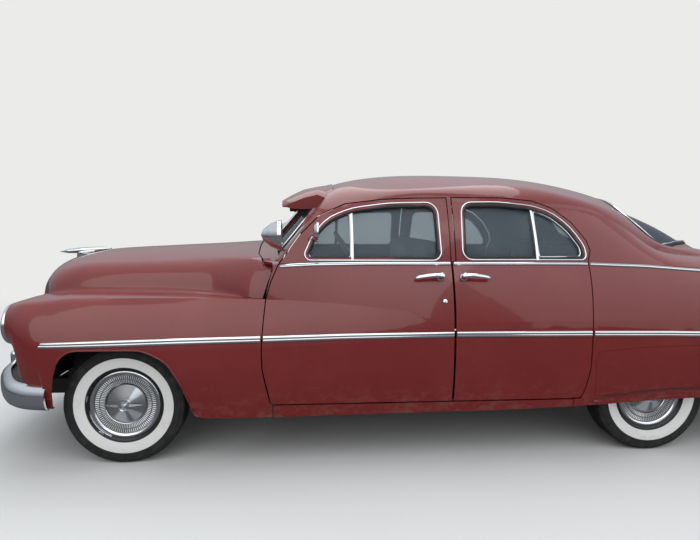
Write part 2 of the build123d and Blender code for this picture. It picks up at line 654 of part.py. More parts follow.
def front_seat():
    base, back = seat(690, ((1240, 1700), (520, 700)), (1690, 560), (1740, 1215), 100)
    foot = block(1290, 1660, -560, -500, 344, 530) + block(1290, 1660, 500, 560, 344, 530)
    return base + back + foot


def rear_seat():
    base, back = seat(600, ((2260, 2700), (572, 740)), (2650, 600), (2780, 1190), 100)
    return base + back


def dashboard():
    """Instrument panel and steering column tube."""
    panel = bar(((905, 1120), (960, 1130), (1000, 1060), (1004, 900), (960, 880), (905, 940)), -745, 745)
    panel = fillet(panel.edges().filter_by(Axis.Y), 14)
    panel = panel - rod((760, -350, 714), (1290, -350, 1085), 45)
    brace = both(block(733, 920, -680, -660, 900, 960))
    column = rod((748, -350, 705.4), (1235, -350, 1046.5), 24)
    return panel + brace, column


STEERING_CENTER = (1290, -350, 1085)
STEERING_SLOPE = math.radians(35)


def steering_wheel():
    """Rim, three spokes and hub on the end of the column."""
    axis = Vector(math.cos(STEERING_SLOPE), 0, math.sin(STEERING_SLOPE))
    a, y, z = STEERING_CENTER
    center = Vector(place(a), y, z)
    plane = Plane(origin=center, x_dir=(0, 1, 0), z_dir=axis)
    piece = plane.location * Torus(212, 11)
    hub = plane.location * (Pos(0, 0, -30) * Cylinder(34, 50))
    piece = piece + hub
    for turn in (90, 210, 330):
        piece = piece + plane.location * (Rot(0, 0, turn) * (Pos(106, 0, -14) * (Rot(0, -4, 0) * Box(205, 20, 10))))
    return piece


def half_bumper(points, tangent, height, z):
    """Curved half bumper: a bowed face swept along tangent arcs in plan."""
    start = Vector(place(points[0][0]), points[0][1], z)
    path = None
    edges = []
    here, direction = start, Vector(*tangent)
    for a, y in points[1:]:
        there = Vector(place(a), y, z)
        edge = TangentArc(here, there, tangent=direction)
        edges.append(edge)
        here, direction = edge @ 1, edge % 1
    path = Wire([e for edge in edges for e in edge.edges()])
    frame = Plane(origin=start, x_dir=(0, 0, 1), z_dir=path % 0)
    out = 34
    with BuildSketch(frame) as profile:
        with BuildLine():
            ThreePointArc((-height / 2, 0), (0, out), (height / 2, 0))
            ThreePointArc((height / 2, 0), (0, out - 12), (-height / 2, 0))
        make_face()
    return sweep(profile.sketch, path=path)


FRONT_BUMPER_PLAN = ((-816, 0), (-768, -600), (-560, -890), (-345, -940))
REAR_BUMPER_PLAN = ((4369, 0), (4332, 606), (4124, 888), (3860, 941))


def front_bumper():
    """Wrap-round bumper, guards, and brackets back to the frame rails."""
    piece = both(half_bumper(FRONT_BUMPER_PLAN, (0, -1, 0), 150, 418))
    for y in (-330, 330):
        guard = Pos(place(-822), y, 425) * Box(52, 62, 215)
        guard = fillet(guard.edges(), 20)
        piece = piece + guard
    for y in (-405, 405):
        piece = piece + block(-790, -560, y - 12, y + 12, 300, 350) + block(-800, -780, y - 12, y + 12, 300, 420)
    return piece


def rear_bumper():
    piece = both(half_bumper(REAR_BUMPER_PLAN, (0, 1, 0), 150, 430))
    for y in (-330, 330):
        guard = Pos(place(4375), y, 437) * Box(52, 62, 215)
        guard = fillet(guard.edges(), 20)
        piece = piece + guard
    for y in (-405, 405):
        piece = piece + block(4130, 4360, y - 12, y + 12, 340, 390) + block(4336, 4356, y - 12, y + 12, 340, 430)
    return piece


def grille():
    """Oval chrome surround with upright bars and a centre rail."""
    middle = Plane(origin=Vector(place(-588), 0, 585), x_dir=(0, 1, 0), z_dir=(-1, 0, 0))
    ring = extrude(middle * (SlotOverall(1050, 210) - SlotOverall(996, 156)), 62)
    piece = ring + extrude(middle * Rectangle(1010, 16), 46)
    for i in range(-8, 9):
        y = i * 56
        half = 78 if abs(i) < 8 else 62
        piece = piece + (Pos(place(-618), y, 585) * Box(34, 15, 2 * half + 10))
    return piece


def headlamps():
    """Bezel, lens and bucket of the round headlamps."""
    piece = turned(((0, 0), (109, 0), (109, 66), (102, 80), (90, 78), (60, 88), (0, 94)), (place(-560), -745, 768),
                   (-1, 0, 0))
    return both(piece)


def tail_lamps():
    """Rounded lamps on the ends of the rear fenders."""
    lamp = Pos(place(4296), -640, 690) * Box(44, 130, 62)
    lamp = fillet(lamp.edges(), 18)
    return both(lamp)


def hood_ornament():
    """Low winged figure with a pointed nose, on the front of the hood."""
    body = turned(((0, 0), (14, 60), (20, 150), (17, 260), (6, 345), (0, 348)), (place(-680), 0, 1116), (1, 0, 0.07))
    wing = plan_cut(((-560, 0), (-470, -120), (-400, -150), (-380, -140), (-420, -60), (-410, 0)), 1104, 1112)
    foot = block(-560, -380, -12, 12, 1060, 1110)
    return largest(body + wing + wing.mirror(Plane.XZ) + foot - hood_loft(0))


def sun_visor():
    """Outside visor over the windscreen: a thin bowed plate with side brackets."""
    def thin(a, y, z, crown):
        x = place(a)
        top = Edge.make_three_point_arc(Vector(x, -y, z), Vector(x, 0, crown), Vector(x, y, z))
        low = Edge.make_three_point_arc(Vector(x, y, z - 8), Vector(x, 0, crown - 8), Vector(x, -y, z - 8))
        return Wire([top, Edge.make_line(Vector(x, y, z), Vector(x, y, z - 8)), low,
                     Edge.make_line(Vector(x, -y, z - 8), Vector(x, -y, z))])
    plate = Solid.make_loft([thin(848, 610, 1420, 1462), thin(1102, 638, 1494, 1578)], ruled=True)
    return plate


def spotlights():
    """Bullet-shaped lamps on stalks at the foot of the screen pillars."""
    shell = turned(((0, 0), (30, 12), (62, 52), (80, 92), (82, 112), (70, 114), (0, 110)), (place(742), -800, 1254),
                   (1, 0, 0))
    stalk = rod((838, -742, 1210), (846, -703, 1180), 9)
    neck = rod((825, -800, 1200), (838, -735, 1212), 11)
    return both(shell + stalk + neck)


def door_mirror():
    """Round mirror on an arm from the driver's door frame."""
    head = turned(((0, 0), (40, 8), (54, 22), (54, 30), (0, 30)), (place(1022), -880, 1273), (1, 0, 0))
    arm = rod((1034, -870, 1270), (1000, -824, 1240), 6)
    return head + arm


def report_and_write(nodes):
    for name, shape in nodes.items():
        b = shape.bounding_box()
        print(name, len(shape.solids()), round(shape.volume / 1e6, 1), shape.is_valid,
              [round(v) for v in (b.min.X, b.max.X, b.min.Y, b.max.Y, b.min.Z, b.max.Z)])
        export_step(shape, os.path.join("parts", name + ".step"))


def running_gear():
    """Wheels, tyres, knuckles, axle, frame, engine and what hangs under the car."""
    nodes = {}
    for end, at, track in (("front", 0, FRONT_TRACK), ("rear", WHEELBASE, REAR_TRACK)):
        for name, side in (("left", -1), ("right", 1)):
            nodes[f"{end}_tyre_{name}"] = tyre(at, side * track / 2)
            nodes[f"{end}_wheel_{name}"] = wheel(at, side * track / 2)
    nodes["knuckle_left"] = knuckle(-1)
    nodes["knuckle_right"] = knuckle(1)
    for make in (front_suspension, rear_axle, chassis_frame, engine_block, radiator, fender_aprons,
                 exhaust, fuel_tank, floor_pan, center_pillars):
        nodes[make.__name__] = make()
    return nodes


def fittings():
    """Seats, controls, lamps and bright parts."""
    nodes = {"front_seat": front_seat(), "rear_seat": rear_seat()}
    nodes["dashboard"], nodes["steering_column"] = dashboard()
    for make in (steering_wheel, front_bumper, rear_bumper, grille, headlamps, hood_ornament,
                 sun_visor, spotlights, door_mirror, windshield, rear_window):
        nodes[make.__name__] = make()
    return nodes


def main():
    os.makedirs("parts", exist_ok=True)
    report_and_write(running_gear())
    report_and_write(fittings())
    body = Body()
    nodes = {}
    nodes["front_door_left"] = door(body, FRONT_DOOR_LINE, FRONT_WINDOW)
    nodes["rear_door_left"] = door(body, REAR_DOOR_LINE, REAR_WINDOW)
    nodes["front_door_glass_left"] = pane(body, FRONT_WINDOW)
    nodes["rear_door_glass_left"] = pane(body, REAR_WINDOW)
    for name in list(nodes):
        nodes[name.replace("left", "right")] = nodes[name].mirror(Plane.XZ)
    nodes["hood"] = hood()
    nodes.update(panels(body))
    report_and_write(nodes)


main()
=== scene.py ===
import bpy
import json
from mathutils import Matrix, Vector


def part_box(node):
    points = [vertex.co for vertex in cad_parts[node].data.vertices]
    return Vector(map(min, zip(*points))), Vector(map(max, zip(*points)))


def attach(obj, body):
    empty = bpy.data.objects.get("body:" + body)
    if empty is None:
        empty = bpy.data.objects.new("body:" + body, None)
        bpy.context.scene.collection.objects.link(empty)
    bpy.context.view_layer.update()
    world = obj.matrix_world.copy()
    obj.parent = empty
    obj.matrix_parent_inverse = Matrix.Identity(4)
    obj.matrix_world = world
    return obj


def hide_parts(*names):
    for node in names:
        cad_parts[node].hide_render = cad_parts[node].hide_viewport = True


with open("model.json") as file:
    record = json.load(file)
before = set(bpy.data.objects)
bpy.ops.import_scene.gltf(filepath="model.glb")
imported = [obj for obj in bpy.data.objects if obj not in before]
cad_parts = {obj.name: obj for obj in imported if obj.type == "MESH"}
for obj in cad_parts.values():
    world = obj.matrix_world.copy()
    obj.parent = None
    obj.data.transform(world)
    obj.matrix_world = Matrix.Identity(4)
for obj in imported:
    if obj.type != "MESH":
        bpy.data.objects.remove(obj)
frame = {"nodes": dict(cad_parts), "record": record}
"""Looks of a full-size four-door saloon of the early 1950s, built round its fixed frame.

Every place is in the frame's metres: the car points to -X and its left side is at -Y.
"""

import bisect
import json
import logging
import math
from dataclasses import dataclass
from enum import Enum
from typing import Any, Callable, Iterable, Sequence

import bmesh
import bpy
import numpy as np
from mathutils import Matrix, Vector
from mathutils.bvhtree import BVHTree

logging.basicConfig(level=logging.INFO, format="%(message)s")
log = logging.getLogger("saloon")

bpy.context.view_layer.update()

Pair = tuple[float, float]
Triple = tuple[float, float, float]
Color = tuple[float, float, float, float]
Row = tuple[float, ...]
Path = Sequence[Vector]
Profile = Sequence[Pair]
Outline = tuple[Pair, ...]
Points = tuple[Triple, ...]
Chain = list[Pair]
Piece = bpy.types.Object
Material = bpy.types.Material


def middle(node: str) -> Vector:
    """Centre of a CAD node's box."""
    low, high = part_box(node)
    return (low + high) / 2


FRONT_AXLE = middle("front_tyre_left").x
REAR_AXLE = middle("rear_tyre_left").x
LEFT, RIGHT = -1.0, 1.0
SIDE_NAMES = {LEFT: "left", RIGHT: "right"}
FORWARD = Vector((-1, 0, 0))


def at(behind: float, y: float, z: float) -> Vector:
    """Point of the frame, from millimetres behind the front axle, to the car's right and up."""
    return Vector((FRONT_AXLE + behind / 1000, y / 1000, z / 1000))


# Finishes


def math_step(kind: str, swapped: bool = False) -> Callable[..., "Signal"]:
    """Method that adds one Math node.

    Args:
        kind: What the node works out.
        swapped: True when the signal comes after the other value.

    Returns:
        The method.
    """
    def method(signal: "Signal", *others: Any) -> "Signal":
        """Result of a Math node on the signal and the other values."""
        values = (*others, signal) if swapped else (signal, *others)
        return signal.shader.node("ShaderNodeMath", {"operation": kind}, dict(enumerate(values)))
    return method


@dataclass(frozen=True)
class Signal:
    """One value in a material's node tree that can be used in a sum."""

    shader: "Shader"
    socket: Any

    __add__ = __radd__ = math_step("ADD")
    __sub__, __rsub__ = math_step("SUBTRACT"), math_step("SUBTRACT", swapped=True)
    __mul__ = __rmul__ = math_step("MULTIPLY")
    __truediv__ = math_step("DIVIDE")
    power, absolute, sine = math_step("POWER"), math_step("ABSOLUTE"), math_step("SINE")
    # signal.turn_of(x) is the angle of the point (x, signal) in radians.
    turn_of, larger, smaller = math_step("ARCTAN2"), math_step("MAXIMUM"), math_step("MINIMUM")

    def ramp(self, low: float, high: float) -> "Signal":
        """0 at low and 1 at high, smooth between; low may be the larger of the two.

        Args:
            low: Value that gives 0.
            high: Value that gives 1.

        Returns:
            The eased share.
        """
        flip = low > high
        start, end = (high, low) if flip else (low, high)
        share = self.shader.node("ShaderNodeMapRange", {"interpolation_type": "SMOOTHSTEP"},
                                 {"Value": self, "From Min": start, "From Max": end})
        return 1 - share if flip else share


class Shader:
    """A material whose nodes are written as sums."""

    def __init__(self, name: str, world: bpy.types.World | None = None) -> None:
        """Start an empty node tree.

        Args:
            name: The material's name.
            world: The world to dress, when it isn't a new material.
        """
        self.material = world or bpy.data.materials.new(name)
        self.material.use_nodes = True
        self.tree = self.material.node_tree
        self.tree.nodes.clear()
        self.out = self.tree.nodes.new(f"ShaderNodeOutput{'World' if world else 'Material'}")

    def node(self, kind: str, settings: dict[str, Any], inputs: dict[Any, Any],
             output: Any = 0) -> Signal:
        """Add a node.

        Args:
            kind: The node's type.
            settings: Its settings, set first; "stops" are the places and colours of a ramp.
            inputs: Values or signals for its sockets, by name or number.
            output: The output that is wanted.

        Returns:
            That output as a signal.
        """
        node = self.tree.nodes.new(kind)
        for key, value in settings.items():
            if key == "stops":
                for stop, (place, color) in zip(node.color_ramp.elements, value):
                    stop.position, stop.color = place, color
            else:
                setattr(node, key, value)
        for key, value in inputs.items():
            if isinstance(value, Signal):
                self.tree.links.new(value.socket, node.inputs[key])
            else:
                node.inputs[key].default_value = value
        return Signal(self, node.outputs[output])

    def place(self) -> Signal:
        """The point on the object, in the frame's metres."""
        return self.node("ShaderNodeTexCoord", {}, {}, "Object")

    def axis(self, name: str) -> Signal:
        """One coordinate of that point."""
        return self.node("ShaderNodeSeparateXYZ", {}, {"Vector": self.place()}, name)

    def facing(self, name: str) -> Signal:
        """One coordinate of the surface's direction."""
        normal = self.node("ShaderNodeNewGeometry", {}, {}, "Normal")
        return self.node("ShaderNodeSeparateXYZ", {}, {"Vector": normal}, name)

    def noise(self, scale: float, detail: float = 3.0, rough: float = 0.5,
              stretch: Triple = (1, 1, 1)) -> Signal:
        """Even noise from 0 to 1.

        Args:
            scale: Waves in a metre.
            detail: Octaves.
            rough: Strength of the finer octaves.
            stretch: Scale of each axis before the noise.

        Returns:
            The noise.
        """
        point = self.node("ShaderNodeVectorMath", {"operation": "MULTIPLY"},
                          {0: self.place(), 1: stretch})
        return self.node("ShaderNodeTexNoise", {}, {"Vector": point, "Scale": scale,
                                                    "Detail": detail, "Roughness": rough})

    def cells(self, scale: float) -> Signal:
        """Distance to the nearest of scattered points."""
        return self.node("ShaderNodeTexVoronoi", {"feature": "F1"},
                         {"Vector": self.place(), "Scale": scale}, "Distance")

    def blend(self, share: Any, low: Any, high: Any) -> Signal:
        """Colour between two others, with a share of 0 for the first and 1 for the second."""
        return self.node("ShaderNodeMix", {"data_type": "RGBA"}, {0: share, 6: low, 7: high}, 2)

    def bump(self, height: Signal, depth: float, strength: float = 1.0) -> Signal:
        """Surface direction from a height of 0 to 1, where 1 stands for the depth in metres."""
        return self.node("ShaderNodeBump", {}, {"Height": height, "Distance": depth,
                                                "Strength": strength})

    def principled(self, inputs: dict[str, Any]) -> Signal:
        """Add the surface shader."""
        return self.node("ShaderNodeBsdfPrincipled", {}, inputs)

    def finish(self, surface: Signal) -> Material:
        """Link the surface and hand over the material."""
        self.tree.links.new(surface.socket, self.out.inputs["Surface"])
        return self.material

    def coat(self, inputs: dict[str, Any]) -> Material:
        """Cover the material with one surface shader and hand it over."""
        return self.finish(self.principled(inputs))


def rgb(red: float, green: float, blue: float) -> Color:
    """Opaque linear colour."""
    return (red, green, blue, 1.0)


@dataclass(frozen=True)
class CarPaint:
    """Old single-stage red enamel: lighter from fading, with painted sky light on upward faces; chipped and
    dusty low down.
    """

    name: str = "red_enamel"
    deep: Color = rgb(0.15, 0.0125, 0.013)
    # Lighter red of the fading, also used as painted sky light on upward faces.
    faded_and_sky_lit: Color = rgb(0.215, 0.034, 0.03)
    dust: Color = rgb(0.27, 0.15, 0.115)
    chip: Color = rgb(0.045, 0.01, 0.011)

    def make(self) -> Material:
        """Build the material.

        Returns:
            The finished material.
        """
        s = Shader(self.name)
        up, high = s.facing("Z"), s.axis("Z")
        cloud = s.noise(2.3, 4, 0.6)
        worn = s.noise(23, 5, 0.65, (0.6, 1, 1))
        # Share of the lighter red: random fade clouds, and painted sky light on faces that look up.
        fade = (up.ramp(0.25, 1.0) * 0.65 + cloud.ramp(0.4, 0.75) * 0.25).smaller(1.0)
        color = s.blend(fade, self.deep, self.faded_and_sky_lit)
        low_dust = high.ramp(0.5, 0.26) * worn.ramp(0.42, 0.82)
        top_dust = up.ramp(0.7, 1.0) * s.noise(9, 6, 0.7).ramp(0.5, 0.9) * 0.25
        dirt = (low_dust * 0.35).larger(top_dust)
        color = s.blend(dirt, color, self.dust)
        chips = s.cells(19).ramp(0.085, 0.05) * s.noise(5.1, 3).ramp(0.6, 0.66)
        color = s.blend(chips, color, self.chip)
        rough = 0.22 + worn * 0.08 + dirt * 0.4 + up.ramp(0.3, 1.0) * 0.06
        peel = s.noise(260, 2) * 0.3 + s.noise(24, 2) * 0.7 - chips * 0.5
        return s.coat({"Base Color": color, "Roughness": rough, "IOR": 1.45, "Specular IOR Level": 0.3,
                       "Coat Weight": 0.85 - dirt * 0.8, "Coat Roughness": 0.045,
                       "Normal": s.bump(peel, 0.0006, 0.35)})


@dataclass(frozen=True)
class Chrome:
    """Bright plating with fine pits and a little haze."""

    name: str = "chrome"
    color: Color = rgb(0.78, 0.8, 0.82)
    stain: Color = rgb(0.3, 0.24, 0.18)
    haze: float = 0.06
    pits: float = 1.0

    def make(self) -> Material:
        """Build the material.

        Returns:
            The finished material.
        """
        s = Shader(self.name)
        cloud = s.noise(14, 4, 0.6)
        pit = s.cells(420).ramp(0.22, 0.1) * s.noise(36, 3).ramp(0.55, 0.7) * self.pits
        color = s.blend((pit * 0.8).larger(cloud.ramp(0.62, 0.9) * 0.22), self.color, self.stain)
        rough = self.haze + cloud * 0.07 + pit * 0.35
        height = s.noise(55, 2) * 0.6 - pit * 0.4
        return s.coat({"Base Color": color, "Roughness": rough, "Metallic": 1.0,
                       "Normal": s.bump(height, 0.0004, 0.25)})


@dataclass(frozen=True)
class WheelPlate:
    """Stainless wheel cover: two fluted rings with painted shade in their hollows, round a finely lined cone
    with a painted reflection: dark, with bright painted highlights.
    """

    center: Pair
    name: str = "wheel_cover_steel"
    flutes: int = 88
    bright: Color = rgb(0.74, 0.76, 0.78)
    # Dark colour of the painted shade in the flute hollows and lines, and of random stains.
    dull: Color = rgb(0.1, 0.095, 0.09)
    rings: Outline = ((0.1168, 0.137), (0.143, 0.1614))
    # Radii of dark painted shade lines at the steps of the cover.
    grooves: Row = (0.106, 0.1088, 0.1398, 0.164, 0.1895)
    # Painted highlights on the cone: direction, how narrow, strength.
    painted_highlight_sectors: Points = ((-1.9, 0.86, 1.0), (-0.89, 0.93, 0.7), (0.79, 0.95, 0.75))
    # Painted reflection on the cone: its dark colour and its painted highlight colour.
    painted_cone_dark: Color = rgb(0.13, 0.125, 0.13)
    painted_cone_highlight: Color = rgb(0.8, 0.86, 0.93)

    def make(self) -> Material:
        """Build the material.

        Returns:
            The finished material.
        """
        s = Shader(self.name)
        x, z = s.axis("X") - self.center[0], s.axis("Z") - self.center[1]
        radius = (x * x + z * z).power(0.5)
        angle = z.turn_of(x)
        wave = (angle * self.flutes - math.pi / 4).sine()
        ringed = None
        for low, high in self.rings:
            band = radius.ramp(low - 0.0008, low) * radius.ramp(high + 0.0008, high)
            ringed = band if ringed is None else ringed.larger(band)
        # Painted shade: the hollows between the flutes are darkened.
        painted_flute_shade = ringed * wave.ramp(0.15, -0.45)
        # Painted shade: dark lines at the steps of the cover's profile.
        for groove in self.grooves:
            painted_flute_shade = painted_flute_shade.larger((radius - groove).absolute().ramp(0.0022, 0.0008) * 0.75)
        cloud = s.noise(30, 4, 0.6)
        cone = radius.ramp(0.1045, 0.1025) * s.facing("Y").absolute().ramp(0.5, 0.8)
        # Painted reflection: the cone is dark, with bright painted highlights in a few directions.
        bright = cone * 0.12
        for toward, edge, strength in self.painted_highlight_sectors:
            bright = bright + (angle + (math.pi / 2 - toward)).sine().ramp(edge, 0.995) * strength
        steel = s.blend(bright.smaller(1.0), self.painted_cone_dark, self.painted_cone_highlight)
        color = s.blend(cone * 0.85, self.bright, steel)
        # The dark colour lays the painted shade of the flute hollows and lines, with random stains.
        color = s.blend(painted_flute_shade.larger(cloud.ramp(0.62, 0.9) * 0.2), color, self.dull)
        lines = (radius * 5200).sine() * cone
        rough = 0.11 + ringed * 0.16 + painted_flute_shade * 0.35 + cone * 0.16 + cloud * 0.05
        return s.coat({"Base Color": color, "Metallic": 1.0 - ringed * 0.45 - cone * 0.35,
                       "Roughness": rough,
                       "Normal": s.bump(ringed * wave * 0.5 + lines * 0.06, 0.0016, 0.6)})


@dataclass(frozen=True)
class Rubber:
    """Dull black rubber or underseal with dust in it."""

    name: str = "black_rubber"
    color: Color = rgb(0.014, 0.014, 0.015)
    dust: Color = rgb(0.085, 0.075, 0.065)
    rough: float = 0.62
    grain: float = 320.0
    dusty: float = 0.5

    def make(self) -> Material:
        """Build the material.

        Returns:
            The finished material.
        """
        s = Shader(self.name)
        patch = s.noise(11, 5, 0.65).ramp(0.4, 0.8)
        up = s.facing("Z").ramp(0.1, 0.9)
        dirt = (patch * 0.5 + up * 0.35) * self.dusty
        height = s.noise(self.grain, 3) * 0.7 + s.noise(40, 3) * 0.3
        return s.coat({"Base Color": s.blend(dirt, self.color, self.dust),
                       "Roughness": self.rough + patch * 0.18, "Specular IOR Level": 0.4,
                       "Normal": s.bump(height, 0.001, 0.5)})


@dataclass(frozen=True)
class Iron:
    """Painted or bare iron under the car, with rust where the paint has gone."""

    name: str = "chassis_iron"
    paint: Color = rgb(0.02, 0.019, 0.018)
    rust: Color = rgb(0.13, 0.05, 0.022)
    share: float = 0.55

    def make(self) -> Material:
        """Build the material.

        Returns:
            The finished material.
        """
        s = Shader(self.name)
        bare = s.noise(8, 6, 0.7).ramp(0.75 - self.share * 0.4, 0.8)
        fine = s.noise(90, 4, 0.7)
        color = s.blend(bare, self.paint, s.blend(fine, self.rust, rgb(0.05, 0.02, 0.012)))
        return s.coat({"Base Color": color, "Roughness": 0.55 + bare * 0.35,
                       "Normal": s.bump(fine * bare + s.noise(30, 3) * 0.4, 0.0012, 0.6)})


@dataclass(frozen=True)
class Glass:
    """Thin clear glass: see-through, with a reflection that grows at a low angle, and a bluish matt veil of
    painted sky reflection with a dust film.
    """

    name: str = "window_glass"
    tint: Color = rgb(0.83, 0.87, 0.88)
    # Bluish veil colour: painted sky reflection; the smear film adds dust to it.
    haze: Color = rgb(0.33, 0.41, 0.49)
    smear: float = 0.04

    def make(self) -> Material:
        """Build the material.

        Returns:
            The finished material.
        """
        s = Shader(self.name)
        film = s.noise(7, 5, 0.6, (1, 1, 0.4)).ramp(0.5, 0.85)
        clear = s.node("ShaderNodeBsdfTransparent", {}, {"Color": self.tint})
        shine = s.principled({"Base Color": rgb(0.02, 0.025, 0.025), "Roughness": 0.02 + film * self.smear,
                              "IOR": 1.5, "Specular IOR Level": 0.8,
                              "Normal": s.bump(s.noise(3, 2), 0.002, 0.15)})
        edge = s.node("ShaderNodeLayerWeight", {}, {"Blend": 0.18}, "Fresnel")
        share = (edge * 0.9 + 0.1 + film * 0.04).smaller(1.0)
        # Painted sky reflection: a bluish matt layer over the glass, a little stronger where the dust film
        # lies.
        dusty = s.principled({"Base Color": self.haze, "Roughness": 0.7, "Specular IOR Level": 0.0})
        sky_and_dust_veiled = s.node("ShaderNodeMixShader", {}, {0: film * 0.1 + 0.15, 1: clear, 2: dusty})
        return s.finish(s.node("ShaderNodeMixShader", {}, {0: share, 1: sky_and_dust_veiled, 2: shine}))


@dataclass(frozen=True)
class LampGlass:
    """Moulded lamp glass with flutes across it."""

    name: str = "lamp_glass"
    color: Color = rgb(0.62, 0.66, 0.66)
    flutes: float = 900.0

    def make(self) -> Material:
        """Build the material.

        Returns:
            The finished material.
        """
        s = Shader(self.name)
        wave = (s.axis("Y") * self.flutes).sine() * 0.5 + 0.5
        film = s.noise(22, 4).ramp(0.4, 0.8)
        return s.coat({"Base Color": s.blend(film * 0.3, self.color, rgb(0.25, 0.24, 0.22)),
                       "Roughness": 0.06 + film * 0.08, "IOR": 1.5, "Coat Weight": 0.8,
                       "Coat Roughness": 0.02, "Normal": s.bump(wave, 0.0015, 0.6)})


@dataclass(frozen=True)
class Cloth:
    """Woven seat cloth in blue grey, with piled threads and wear."""

    name: str = "seat_cloth"
    color: Color = rgb(0.26, 0.28, 0.3)
    worn: Color = rgb(0.38, 0.39, 0.4)
    threads: float = 2600.0

    def make(self) -> Material:
        """Build the material.

        Returns:
            The finished material.
        """
        s = Shader(self.name)
        across = (s.axis("Y") * self.threads).sine()
        along = ((s.axis("X") + s.axis("Z")) * self.threads).sine()
        weave = (across * along) * 0.5 + 0.5
        wear = s.noise(6, 5, 0.6).ramp(0.4, 0.75)
        color = s.blend(wear * 0.7 + weave * 0.2, self.color, self.worn)
        return s.coat({"Base Color": color, "Roughness": 0.86, "Sheen Weight": 0.35,
                       "Sheen Roughness": 0.5, "Normal": s.bump(weave * 0.6 + wear * 0.4, 0.0011, 0.6)})


@dataclass(frozen=True)
class Tyre:
    """Tyre rubber with a white band between two radii from the wheel's centre."""

    center: Pair
    name: str = "whitewall_tyre"
    inner: float = 0.2105
    outer: float = 0.264
    white: Color = rgb(0.72, 0.72, 0.7)
    black: Color = rgb(0.013, 0.013, 0.014)

    def make(self) -> Material:
        """Build the material.

        Returns:
            The finished material.
        """
        s = Shader(self.name)
        x, z = s.axis("X") - self.center[0], s.axis("Z") - self.center[1]
        radius = (x * x + z * z).power(0.5)
        band = radius.ramp(self.inner - 0.0012, self.inner) * radius.ramp(self.outer + 0.0012, self.outer)
        band = band * s.facing("Y").absolute().ramp(0.15, 0.3)
        scuff = s.noise(16, 6, 0.7).ramp(0.5, 0.8)
        white = s.blend(scuff * 0.35, self.white, rgb(0.36, 0.34, 0.31))
        black = s.blend(s.noise(26, 4).ramp(0.4, 0.8) * 0.5, self.black, rgb(0.055, 0.05, 0.046))
        rough = 0.7 - band * 0.2 + scuff * 0.1
        tread = radius.ramp(0.3175, 0.319)
        cuts = ((z.turn_of(x) * 150).sine() + (s.axis("Y") * 300).sine() * 0.8).absolute().ramp(0.0, 0.35)
        height = s.noise(300, 2) * 0.15 + s.noise(70, 3) * 0.15 + tread * cuts
        return s.coat({"Base Color": s.blend(band, black, white), "Roughness": rough,
                       "Normal": s.bump(height, 0.003, 0.5)})


class Finishes:
    """Every material of the car, made once."""

    def __init__(self) -> None:
        """Build them all."""
        self.paint = CarPaint().make()
        self.chrome = Chrome().make()
        self.rubber = Rubber().make()
        self.iron = Iron().make()
        self.black = Iron(name="black_paint", share=0.15).make()
        self.exhaust = Iron(name="exhaust_steel", paint=rgb(0.16, 0.13, 0.11), share=0.9).make()
        self.steel = Chrome(name="wheel_steel", color=rgb(0.6, 0.61, 0.62), haze=0.16).make()
        height = middle("front_tyre_left").z
        self.cover = {end: WheelPlate((x, height), name=f"{end}_wheel_cover_steel").make()
                      for end, x in (("front", FRONT_AXLE), ("rear", REAR_AXLE))}
        self.black_gloss = Rubber(name="rim_enamel", color=rgb(0.012, 0.011, 0.011), rough=0.22,
                                  dust=rgb(0.07, 0.06, 0.055), dusty=0.4, grain=60).make()
        self.tyre = {end: Tyre((x, height), name=f"{end}_whitewall").make()
                     for end, x in (("front", FRONT_AXLE), ("rear", REAR_AXLE))}
        self.glass = Glass().make()
        self.lamp = LampGlass().make()
        self.red_lamp = LampGlass(name="red_glass", color=rgb(0.35, 0.012, 0.01)).make()
        self.cloth = Cloth().make()
        self.dash = Rubber(name="dash_paint", color=rgb(0.13, 0.15, 0.17), rough=0.35,
                           dust=rgb(0.2, 0.2, 0.2), dusty=0.25).make()
        self.plastic = Rubber(name="steering_plastic", color=rgb(0.52, 0.53, 0.5), rough=0.28,
                              dust=rgb(0.3, 0.3, 0.27), dusty=0.5, grain=90).make()

    def by_slot(self) -> dict[str, Material]:
        """Material of each of the record's slots.

        Returns:
            The materials by slot.
        """
        return {"body_paint": self.paint, "chrome": self.chrome, "lamp_glass": self.lamp,
                "red_glass": self.red_lamp, "window_glass": self.glass, "black_iron": self.iron,
                "black_paint": self.black, "exhaust_steel": self.exhaust,
                "tyre_rubber": self.rubber, "wheel_steel": self.steel, "seat_cloth": self.cloth,
                "dash_paint": self.dash, "steering_plastic": self.plastic}


def dress_frame(finishes: Finishes) -> None:
    """Give every CAD node the finish of its record's slot.

    Args:
        finishes: The car's materials.
    """
    by_slot = finishes.by_slot()
    for entry in frame["record"]["subparts"]:
        node = frame["nodes"][entry["node"]]
        node.data.materials.clear()
        node.data.materials.append(by_slot[entry["material_slot"]])
    log.info("dressed %d CAD nodes", len(frame["nodes"]))


# Modelling steps


